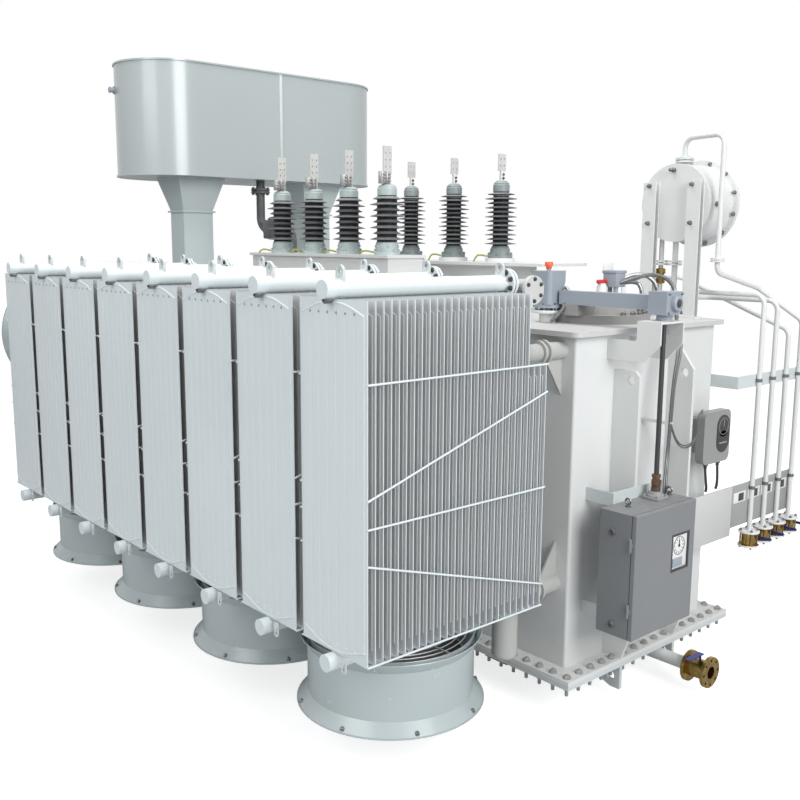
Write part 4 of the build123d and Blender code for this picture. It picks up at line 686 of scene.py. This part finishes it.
# Painted light: the lower welds are white as a highlight, and the upper ones slate grey as shade.
for name, z, finish in (("low_welds_painted_highlight", WELD_LOW_Z, white_paint),
                        ("high_welds_painted_shade", WELD_TOP_Z, gear_paint)):
    weld = turned([(7, 0), (7, 5), (4, 6)], 10)
    weld_places = [at(x + seam, WELD_Y, z, "-Y") for x in RADIATOR_XS for seam in SEAMS]
    fit(copies(weld, weld_places), name, finish)

# %% [markdown]
# ## Flange bolts of the oil circuit
# Every header ends in a pair of flanges against the collector, and each pair is held by eight bolts. The rings
# of places are gathered first, and one bolt is then copied to them all.

# %% Oil circuit bolts
HEADER_ZS = (2621.8, 790.2)

header_bolts = []
for x in RADIATOR_XS:
    for z in HEADER_ZS:
        header_bolts += ring_places((x, -1264.8, z), 62, 8, "-Y", 22.5)
        header_bolts += ring_places((x, -1224.8, z), 62, 8, "+Y", 22.5)
fit(copies(hex_head(22, 13), header_bolts), "header_bolts", dark_paint)
disc_bolts = ring_places((2346, -1123.5, 2584.8), 60, 6, "+X", 30)
fit(copies(hex_head(18, 9), disc_bolts), "collector_bolts", dark_paint)

# %% [markdown]
# ## Fan guards
# A guard of round wires keeps hands out of the fan. The wires are welded rings on eight straight spokes. The
# rings start as curve circles with a round section, which are then made into meshes.

# %% Fan guards
FAN_XS, FAN_Y, FAN_RIM_Z, FAN_LIP_Z = (1948, 776, -396, -1568), -1806.9, 700.7, 303.7
END_FAN_RIM_X, END_FAN_Z = -2166, 2040


def wire_ring(radius, wire, steps=8):
    """Ring of round wire about the upright axis."""
    choose()
    bpy.ops.curve.primitive_bezier_circle_add(radius=radius * MM)
    line = bpy.context.object.data
    line.bevel_depth = wire * MM
    line.bevel_resolution = 1
    line.resolution_u = steps
    bpy.ops.object.convert(target="MESH")
    bpy.ops.object.shade_smooth_by_angle(angle=SMOOTH)
    return bpy.context.object


rings = [wire_ring(60 + 41 * step, 3, 10) for step in range(11)]
spoke = placed(turned([(4, 0), (4, 424)], 8), 50, 0, 6, "+X")
spokes = copies(spoke, [Matrix.Rotation(radians(45 * step), 4, "Z") for step in range(8)])
guard = joined(rings + spokes, "fan_guard")
guard_places = [at(x, FAN_Y, FAN_RIM_Z) for x in FAN_XS] + [at(END_FAN_RIM_X, FAN_Y, END_FAN_Z, "+X")]
fit(copies(guard, guard_places), "fan_guards", guard_wire)

# %% [markdown]
# ## Fan rims
# The upper edge of a casing is rolled outward, which stiffens the thin sheet. The lathe helper closes its two
# ends with discs, but a rim is a ring. So the discs are deleted and the two open edges are bridged.

# %% Fan rims and lip bolts
RIM_PROFILE = [(472, -58), (476, -54), (492, -30), (512, -6), (515, 0), (512, 4), (507, 2), (488, -24)]

rolled_rim = turned(RIM_PROFILE, 64)
bpy.ops.object.mode_set(mode="EDIT")
bpy.ops.mesh.select_mode(type="FACE")
bpy.ops.mesh.select_face_by_sides(number=4, type="GREATER", extend=False)
bpy.ops.mesh.delete(type="FACE")
bpy.ops.mesh.select_mode(type="EDGE")
bpy.ops.mesh.select_non_manifold()
bpy.ops.mesh.bridge_edge_loops()
bpy.ops.mesh.select_all(action="SELECT")
bpy.ops.mesh.normals_make_consistent(inside=False)
bpy.ops.object.mode_set(mode="OBJECT")
fit(copies(rolled_rim, guard_places), "fan_rims", fan_paint)
lip_bolts = [place for x in FAN_XS for place in ring_places((x, FAN_Y, FAN_LIP_Z + 16), 514, 8, "+Z", 20)]
fit(copies(hex_head(20, 14), lip_bolts), "fan_bolts", bolt_steel)

# %% [markdown]
# ## Bushings
# A bushing carries one conductor through the cover. Its dark core is wrapped in rubber sheds, wide and narrow
# by turns, that keep rain from making a path. The CAD bushing is one plain turned form, so these pieces stand
# for it: base, core, sheds and cap. They are turned apart, so that each has its own finish. The core is dark
# rubber, painted near-black for the shade that falls between the sheds.

# %% Bushings
LV_XS, LV_Y, LV_FOOT_Z = [-1090 + 460 * i for i in range(4)], -433, 2747
HV_XS, HV_Y, HV_FOOT_Z = [-443 + 526 * i for i in range(3)], 467, 2722
BASE_RISE = 95


def bushing_parts(core_r, shed_r, shed_step, count, pitch, cap_r, sleeve):
    """Base, core, sheds and cap of one bushing on the origin."""
    cap_z = BASE_RISE + count * pitch
    base = turned([(98, 0), (98, 20), (94, 25), (86, 25), (core_r + 8, BASE_RISE - 6),
                   (core_r + 2, BASE_RISE)], 32)
    knobs = copies(hex_head(19, 14), ring_places((0, 0, 25), 91, 6, "+Z"))
    bosses = []
    for step in range(6):
        boss = turned([(13, 0), (13, 12), (8, 15)], 10)
        boss.data.transform(Matrix.Rotation(radians(30 + 60 * step), 4, "Z") @ at(core_r + 4, 0, 62, "+X"))
        bosses.append(boss)
    core = turned([(core_r, BASE_RISE - 2), (core_r, cap_z - 6), (cap_r - 4, cap_z - 6),
                   (cap_r - 4, cap_z)], 32)
    discs = []
    for shed in range(count):
        low = BASE_RISE + (shed + 0.4) * pitch
        edge = shed_r - shed % 2 * shed_step
        discs.append(turned([(core_r + 1, low - 4), (edge - 3, low), (edge, low + 2.5), (edge - 3, low + 5),
                             (core_r + 3, low + 0.42 * pitch), (core_r + 1, low + 0.46 * pitch)], 40))
    cap = turned([(cap_r - 3, cap_z), (cap_r, cap_z + 3), (cap_r, cap_z + 50), (cap_r - 5, cap_z + 56),
                  (cap_r - 5, cap_z + 66), (cap_r - 14, cap_z + 74), (38, cap_z + 85)], 32)
    caps = [cap]
    if sleeve:
        caps.append(turned([(core_r + 4, cap_z - sleeve), (core_r + 5, cap_z - 7)], 32))
    return joined([base] + knobs + bosses, "base"), core, joined(discs, "sheds"), joined(caps, "cap")


lv_places = [at(x, LV_Y, LV_FOOT_Z) for x in LV_XS]
hv_places = [at(x, HV_Y, HV_FOOT_Z) for x in HV_XS]
for kind, places, collar, sizes in (("lv", lv_places, collar_paint, (76, 128, 22, 8, 42.5, 74, 0)),
                                    ("hv", hv_places, ring_paint, (60, 125, 18, 12, 34.6, 65, 34))):
    finishes = (("bases", collar), ("cores", shaded_core_rubber), ("sheds", shed_rubber), ("caps", collar))
    for (label, finish), model in zip(finishes, bushing_parts(*sizes)):
        piece = fit(copies(model, places), f"{kind}_bushing_{label}", finish)
        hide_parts("bushings")

# %% [markdown]
# ## Terminal clamps
# The flat palm of a low-voltage terminal is held in a split clamp of two upright barrels that bolts draw
# together. Each barrel is turned, and three bolts cross them. The high-voltage palms have two bolts only.

# %% Terminal clamps
barrel = turned([(24, 0), (26, 3), (26, 84), (24, 88)], 20)
barrels = copies(barrel, [at(12, y, 0) for y in (-62, -14)])
cross_places = [at(37, y, z, "+X") for y in (-62, -14) for z in (20, 44, 68)]
cross_bolts = copies(hex_head(17, 11), cross_places)
clamp = joined(barrels + cross_bolts, "clamp")
fit(copies(clamp, [at(x, LV_Y, 3268) for x in LV_XS]), "lv_clamps", zinc_steel)
small_clamp = joined(copies(hex_head(17, 11), [at(17, 0, z, "+X") for z in (20, 48)]), "small_clamp")
fit(copies(small_clamp, [at(x, HV_Y, 3317) for x in HV_XS]), "hv_clamps", bolt_steel)

# %% [markdown]
# ## Bonding straps
# A strap ties the metal foot of each bushing to the tank, so that the foot can't become live. It is a short
# cable with a green and yellow cover. Both its ends are fixed, so a bent pipe through four points is enough.

# %% Bonding straps
STRAP_R = 7
LV_STRAP = [(-60, -515, 2764), (-95, -540, 2778), (-150, -560, 2772), (-170, -562, 2747)]
HV_STRAP = [(-60, 385, 2735), (-100, 350, 2750), (-140, 335, 2735), (-155, 330, 2692)]

straps = [bent_pipe([(x + side, y, z) for side, y, z in LV_STRAP], STRAP_R) for x in LV_XS]
straps += [bent_pipe([(x + side, y, z) for side, y, z in HV_STRAP], STRAP_R) for x in HV_XS]
fit(straps, "bonding_straps", strap_cover)

# %% [markdown]
# ## Conservator
# The oil expands into this large drum. Its flat side is welded from two sheets, and a narrow strip covers the
# joint. A small flanged fitting stands on the round end.

# %% Conservator strip and fitting
strips = [block(span, (28, 56), (3419, 4359), 1.5) for span in ((-1788, -1780), (-2737, -2728))]
fit(strips, "conservator_strips", pale_paint)
fitting = turned([(34, -12), (34, 14), (20, 16), (20, 40), (26, 42), (26, 54), (18, 58)])
fit([placed(fitting, -2378, -1301, 4143, "-Y")], "conservator_fitting", gear_paint)

# %% [markdown]
# ## Gas relay
# The relay stands in the pipe between tank and conservator and traps gas from a fault. It is a cast box with
# a domed lid between flanges, and the upright pipe has a bolted flange pair of its own.

# %% Gas relay
RELAY_X, RISER_X, RELAY_Y = -1740, -2000, -60
PAIR_PROFILE = [(42, 3290), (88, 3292), (88, 3308), (60, 3309), (60, 3315), (88, 3316), (88, 3332), (42, 3334)]

relay_box = block((-1835, -1645), (-150, 30), (2868, 3040), 14)
relay_lid = placed(turned([(80, 3036), (80, 3052), (60, 3066), (30, 3072)], 28), RELAY_X, RELAY_Y, 0)
pipe_pair = placed(turned(PAIR_PROFILE, 32), RISER_X, RELAY_Y, 0)
pair_places = ring_places((RISER_X, RELAY_Y, 0), 74, 8, "+Z")
pair_studs = copies(turned([(9, 3276), (9, 3348)], 8), pair_places)
fit([relay_box, relay_lid, pipe_pair] + pair_studs, "gas_relay_forms", relay_paint)

# %% [markdown]
# ## Tap changer head
# The tap changer hangs in the tank under this round head. Its cover is held by a ring of bolts, and a drive
# comes in at the side. On top stand a small grey box with a flag, and a neck with a red handle. Where the drive
# comes in, the ring has no bolts, so those places are left out.

# %% Tap changer head
HEAD_X, HEAD_Y, HEAD_RING_Z = 1921, 27, 2390
head_places = [place for place in ring_places((HEAD_X, HEAD_Y, HEAD_RING_Z), 294, 24, "+Z", 7.5)
               if not (place.translation.x > 1.89 and place.translation.y < -0.12)]
fit(copies(hex_head(30, 18), head_places), "head_bolts", bolt_steel)
stems = copies(turned([(16, 0), (16, 120)], 12), [at(1990, 40, 2445), at(2050, 20, 2445)])
box = block((1975, 2080), (-20, 80), (2560, 2665), 5)
lid = block((1970, 2085), (-25, 85), (2648, 2668), 3)
fit(stems + [box, lid], "head_box", gear_paint)
fit([block((1974, 1980), (-22, 82), (2660, 2718), 1)], "head_flag", white_paint)
dome_neck = placed(turned([(62, 2445), (58, 2470), (40, 2500), (34, 2560), (24, 2585)], 28), 2000, -62, 0)
fit([dome_neck], "head_neck", tank_paint)
fit([block((1988, 2012), (-110, -14), (2583, 2609), 7)], "head_handle", red_paint)

# %% [markdown]
# ## Steel conduits
# Steel conduits shield the wires that leave the small box, and one leaves the relief valve. Each bends over and
# goes down to the cover. Straight lengths with elbows could do, but a real one has no corner, so each is one
# bent pipe.

# %% Steel conduits
CONDUITS = [
    (13, [(2080, 30, 2590), (2150, 60, 2620), (2230, 180, 2650), (2330, 215, 2610), (2390, 210, 2500),
          (2390, 210, 2335)]),
    (13, [(2030, 80, 2600), (2060, 160, 2640), (2130, 240, 2640), (2190, 300, 2560), (2200, 310, 2335)]),
    (13, [(2040, 80, 2580), (2090, 130, 2600), (2150, 180, 2570), (2165, 190, 2335)]),
    (12, [(1890, -290, 2560), (1930, -300, 2540), (1935, -330, 2470), (1925, -380, 2400), (1880, -420, 2345)]),
]
conduits = [bent_pipe(points, radius) for radius, points in CONDUITS]
fit(conduits, "steel_conduits", bolt_steel)

# %% [markdown]
# ## Relief valve and bevel gearbox
# The relief valve opens when the tank pressure rises, and its bright cap lifts as a sign. The gearbox turns
# the drive through a right angle, and a round cover and four screws show on its end. All of this is turned.

# %% Relief valve and gearbox fittings
RELIEF_X, RELIEF_Y = 1781, -333
SHAFT_Y, GEAR_Z = -303, 2499.5

cap = turned([(17, 0), (19, 3), (19, 16), (27, 19), (27, 40), (24, 45)], 24)
fit([placed(cap, RELIEF_X, RELIEF_Y, 2676)], "relief_cap", cap_plastic)
stud = turned([(8, 2410), (8, 2462), (6, 2466)], 10)
nut = turned([(16, 2450), (16, 2460), (13, 2462)], 6)
relief_stud = joined([stud, nut], "relief_stud")
relief_studs = ring_places((RELIEF_X, RELIEF_Y, 0), 78, 8, "+Z", 22.5)
fit(copies(relief_stud, relief_studs), "relief_studs", bolt_steel)
neck = turned([(54, 2336), (54, 2392), (96, 2394), (98, 2397), (98, 2410), (96, 2413), (54, 2414)], 40)
fit([placed(neck, RELIEF_X, RELIEF_Y, 0)], "relief_neck", tank_paint)
corner_screws = [at(2704, SHAFT_Y + y, GEAR_Z + z, "+X") for y in (-64, 64) for z in (-55, 55)]
fit(copies(hex_head(14, 8), corner_screws), "gearbox_screws", bolt_steel)
boss = turned([(45, 0), (45, 10), (40, 14), (27, 14), (24, 5)], 32)
fit([placed(boss, 2718, SHAFT_Y, GEAR_Z, "+X")], "gearbox_cover", gear_paint)
gear_plug = turned([(21, 0), (21, 9), (14, 12)], 24)
fit([placed(gear_plug, 2722, SHAFT_Y, GEAR_Z, "+X")], "gearbox_plug", dark_paint)

# %% [markdown]
# ## Window and dial
# The drive cabinet holds the motor of the tap changer. Its door has a sunk window over a position dial, which
# turns with the door. A picture could show the dial, but thin forms need no image and hold up in a close view:
# a plate, a rim, twelve ticks and a needle, each on the one behind.

# %% Window and dial
DOOR_FLOOR_X, FRAME_X = 2793, 2804
FRAME_BARS = [((-361, -347), (914, 1146)), ((-189, -175), (914, 1146)),
              ((-348, -188), (914, 928)), ((-348, -188), (1132, 1146))]
DIAL_Y, DIAL_Z = -272, 1066

window_frame = [block((DOOR_FLOOR_X, FRAME_X), y, z, 1) for y, z in FRAME_BARS]
fit(window_frame, "window_frame", dark_paint, "cabinet_door")
face = block((DOOR_FLOOR_X, 2795), (-350, -186), (925, 1135), 0.5)
fit([face], "dial_plate", white_paint, "cabinet_door")
rim = placed(wire_ring(56, 2), 2796, DIAL_Y, DIAL_Z, "+X")
ticks = []
for step in range(12):
    tick = block((2795, 2797), (-2, 2), (38, 48), 0.4)
    tick.data.transform(at(0, DIAL_Y, DIAL_Z) @ Matrix.Rotation(radians(30 * step), 4, "X"))
    ticks.append(tick)
needle = block((2797, 2799), (DIAL_Y - 3, DIAL_Y + 3), (DIAL_Z - 10, DIAL_Z + 36), 0.6)
hub = placed(turned([(8, 0), (8, 4)], 16), 2795, DIAL_Y, DIAL_Z, "+X")
counter = block((2795, 2799), (-335, -235), (938, 992), 1)
dial_face = turned([(55, 0), (55, 1), (53, 1.5)], 40)
fit([placed(dial_face, 2794, DIAL_Y, DIAL_Z, "+X")], "dial_face", white_paint, "cabinet_door")
fit([rim, needle, hub] + ticks, "dial", dark_paint, "cabinet_door")
fit([counter], "dial_counter", gear_paint, "cabinet_door")

# %% [markdown]
# ## Cabinet fittings
# Two eye bolts lift the cabinet, and round knobs stand on its side. The drive shaft passes through a bolted
# foot plate on the roof, with a bronze coupling above it. An eye is a ring of wire on a turned foot.

# %% Cabinet fittings
SHAFT_X, ROOF_Z = 2636, 1326
JAW_PROFILE = [(24, 1366), (28, 1369), (28, 1396), (22, 1400), (22, 1412), (28, 1416), (28, 1442), (22, 1446),
               (22, 1456), (27, 1459), (27, 1474), (23, 1477)]

eye_ring = placed(wire_ring(17, 6), 0, 0, 32, "-Y")
eye_foot = turned([(18, 0), (18, 7), (9, 9), (9, 18)], 16)
eye_bolt = joined([eye_ring, eye_foot], "eye_bolt")
lifting_places = [at(2638, -581, ROOF_Z), at(2640, -160, ROOF_Z)]
fit(copies(eye_bolt, lifting_places), "cabinet_eyes", bolt_steel)
knob = turned([(22, 0), (22, 8), (18, 12), (10, 12), (10, 8)], 24)
knob_places = [at(2642, -726, 1203, "-Y"), at(2660, -726, 651, "-Y")]
fit(copies(knob, knob_places), "cabinet_knobs", bolt_steel)
foot_plate = block((SHAFT_X - 58, SHAFT_X + 58), (SHAFT_Y - 58, SHAFT_Y + 58), (ROOF_Z, 1342), 3)
foot_boss = turned([(54, 1340), (52, 1352), (44, 1356), (40, 1372), (30, 1374)], 28)
placed(foot_boss, SHAFT_X, SHAFT_Y, 0)
foot_places = [at(SHAFT_X + x, SHAFT_Y + y, 1342) for x in (-45, 45) for y in (-45, 45)]
foot_bolts = copies(hex_head(17, 10), foot_places)
fit([foot_plate, foot_boss] + foot_bolts, "shaft_foot_plate", gauge_paint)
fit([placed(turned(JAW_PROFILE, 12), SHAFT_X, SHAFT_Y, 0)], "jaw_coupling", copper_metal)

# %% [markdown]
# ## Tap changer conservator
# This small drum holds the oil of the tap changer. Its end is closed by a bolted flange, and long bolts hold
# the drum to the posts. A short neck stands on top for the loop of pipe. All of it is turned and copied.

# %% Small drum fittings
DRUM_X, DRUM_Z = 1990, 3120
NECK_PROFILE = [(30, 0), (30, 20), (62, 20), (62, 34), (30, 35), (30, 38), (62, 39), (62, 53), (30, 53),
                (24, 70)]

drum_bolts = ring_places((DRUM_X, 1040, DRUM_Z), 285, 12, "-Y", 15)
drum_bolts += ring_places((DRUM_X, 1070, DRUM_Z), 285, 12, "+Y", 15)
fit(copies(hex_head(22, 14), drum_bolts), "drum_bolts", bolt_steel)
post_bolts = [at(x, 690, z, "-Y") for x in (1815, 2150) for z in (3238, 2982)]
fit(copies(hex_head(24, 24), post_bolts), "post_bolts", bolt_steel)
fit([placed(turned(NECK_PROFILE), DRUM_X, 835, 3375)], "drum_neck", pale_paint)
side_fitting = turned([(16, -20), (16, 20), (10, 22), (10, 38), (14, 40), (14, 50), (9, 53)], 16)
fitting_places = [at(DRUM_X + 264, 826, 3109, "+X"), at(1973, 740, 3343, "-Y")]
fit(copies(side_fitting, fitting_places), "drum_fittings", bolt_steel)

# %% [markdown]
# ## Drop pipes of the small drum
# Two short pipes drop from the drum to the cover behind the posts, one of them with a brass valve. The pipes
# differ in place and thickness alone, so one helper turns both, with their flanges.

# %% Drop pipes
DROP_Y, VALVE_PIPE_X = 800, 1864
VALVE_PROFILE = [(24, 2560), (32, 2562), (32, 2600), (25, 2604), (25, 2626), (34, 2630), (34, 2664), (24, 2668)]


def drop_pipe(x, radius):
    """Upright pipe from the cover to the drum, with a pair of flanges."""
    profile = [(radius, 2335), (radius, 2690), (50, 2690), (50, 2704), (radius, 2705), (radius, 2709),
               (50, 2710), (50, 2724), (radius, 2724), (radius, 2900)]
    return placed(turned(profile), x, DROP_Y, 0)


drop_pipes = [drop_pipe(1977, 20), drop_pipe(VALVE_PIPE_X, 17)]
fit(drop_pipes, "drum_drop_pipes", tank_paint)
fit([placed(turned(VALVE_PROFILE), VALVE_PIPE_X, DROP_Y, 0)], "drum_brass_valve", brass_metal)

# %% [markdown]
# ## Clips and plates of the oil pipes
# The sampling pipes are held by small clips on the bar and the plate, and beside each pipe a blank plate marks
# its place. The plates are thin blocks with eased edges, each a little proud of the one behind. A darker grey
# sheet on the far part of the plate is painted shade for its recessed part.

# %% Pipe clips and blank plates
PIPE_X, PIPE_YS = 2561, (997, 1184, 1371, 1558)

clip = turned([(18, -12), (22, -10), (22, 10), (18, 12)], 20)
ear = block((-26, 0), (-9, 9), (-8, 8), 2)
clips = [at(PIPE_X, y, z) for y in PIPE_YS for z in (1917, 1160)]
fit(copies(joined([clip, ear], "clip"), clips), "pipe_clips", bolt_steel)
fit([block((2543, 2553), (206, 748), (857, 1206), 1.5)], "near_sheet", cover_paint)
# Painted shade: the far sheet is darker grey for the shade on the recessed part of the plate.
fit([block((2542, 2545), (748, 1574), (906, 1201), 0.8)], "far_shade_sheet", shaded_plate_paint)
marks, squares = [], []
for y in (884, 1075, 1260, 1460):
    marks.append(block((2544, 2547), (y - 100, y + 60), (1074, 1148), 0.8))
    squares.append(block((2546, 2549), (y - 36, y + 30), (1084, 1138), 0.8))
fit(marks, "blank_plates", white_paint)
fit(squares, "dark_squares", dark_paint)

# %% [markdown]
# ## Sampling valves
# Each pipe ends in a brass valve between two white flanges, and four ties hold the flanges together. The
# fittings of one valve are modelled and copied to the four pipes.

# %% Sampling valve fittings
def valve_ring(z, way="+Z"):
    """Four places round each of the pipes."""
    return [place for y in PIPE_YS for place in ring_places((PIPE_X, y, z), 58, 4, way, 45)]


fit(copies(hex_head(16, 12), valve_ring(850) + valve_ring(740, "-Z")), "valve_bolts", bolt_steel)
collar = turned([(50, 0), (72, 0), (73, 2), (73, 11), (71, 13), (50, 13)], 32)
collars = [at(PIPE_X, y, z) for y in PIPE_YS for z in (738, 838)]
fit(copies(collar, collars), "valve_collars", white_paint)
fit(copies(turned([(6, 750), (6, 840)], 8), valve_ring(0)), "valve_ties", brass_metal)

# %% [markdown]
# ## Thermometer
# The thermometer shows the heat of the oil through a long round-ended window, and its cables leave through two
# glands below. The window is a block between two discs, and the dial is a ring of wire with a pointer.

# %% Thermometer window and glands
GAUGE_Y, GAUGE_LOW_Z, GAUGE_TOP_Z = 617, 1540, 1640

pane = block((2522, 2534.8), (541, 693), (GAUGE_LOW_Z, GAUGE_TOP_Z), 0.5)
arch = turned([(77, 0), (77, 8), (71, 9)], 40)
arches = copies(arch, [at(2526, GAUGE_Y, z, "+X") for z in (GAUGE_TOP_Z, GAUGE_LOW_Z)])
fit([pane] + arches, "gauge_window", dark_paint)
gauge_dial = placed(wire_ring(56, 2), 2535, GAUGE_Y, GAUGE_TOP_Z, "+X")
pointer = block((2534, 2537), (614, 620), (1636, 1686), 0.8)
lower_dial = block((2533, 2536), (570, 664), (1524, 1534), 1.5)
fit([gauge_dial, pointer, lower_dial], "gauge_dial", gauge_paint)
glands = copies(turned([(17, 0), (17, 22), (11, 24), (11, 40)], 12),
                [at(2495, y, 1404, "-Z") for y in (480, 630)])
gland_tails = [bent_pipe([(2495, 480, 1370), (2490, 500, 1290), (2480, 540, 1210), (2470, 545, 1190)], 9),
               bent_pipe([(2495, 630, 1370), (2490, 650, 1290), (2480, 668, 1210), (2470, 669, 1190)], 9)]
fit(glands + gland_tails, "gauge_glands", dark_paint)

# %% [markdown]
# ## Wall conduits
# Four conduits come over the edge of the cover and run down the wall into the cabinet, on a short bar, and two
# thin leads branch off to the thermometer. The four are alike but lie side by side, so a loop shifts one route.

# %% Wall conduits
fit([block((2351, 2562), (-72, -38), (1738, 1752), 2)], "conduit_bar", tank_paint)
wall_conduits = []
for step, side in enumerate((-24, -8, 8, 24)):
    x = 2556 - 4 * (step % 2)
    wall_conduits.append(bent_pipe([
        (2330, 60 + side, 2344), (2440, 55 + side, 2356), (2520, 40 + side, 2320), (x, 15 + side, 2222),
        (x, -42 + 0.6 * side, 1993), (x, -55 + 0.5 * side, 1745), (x, -70 + 0.5 * side, 1500),
        (x + 44, -145 + 0.7 * side, 1400), (x + 44, -148 + 0.7 * side, 1322)], 7))
for drop in (0, 14):
    wall_conduits.append(bent_pipe([
        (2548, -40, 1745 - drop), (2548, 10, 1640 - drop), (2548, 110, 1570 - drop), (2548, 230, 1580 - drop),
        (2542, 290, 1650 - drop), (2532, 300, 1760 - drop), (2500, 400, 1770 - drop)], 5))
fit(wall_conduits, "wall_conduits", wire_steel)

# %% [markdown]
# The boxes of the CAD model and of the finished pieces are printed so that they can be compared. The
# finished pieces must stay in the box of the CAD model.

# %% Sizes and finish
sizes = {"cad": [list(map(float, corner)) for corner in cad_bounds],
         "visual": [list(map(float, corner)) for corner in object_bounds()]}
print("sizes", sizes)
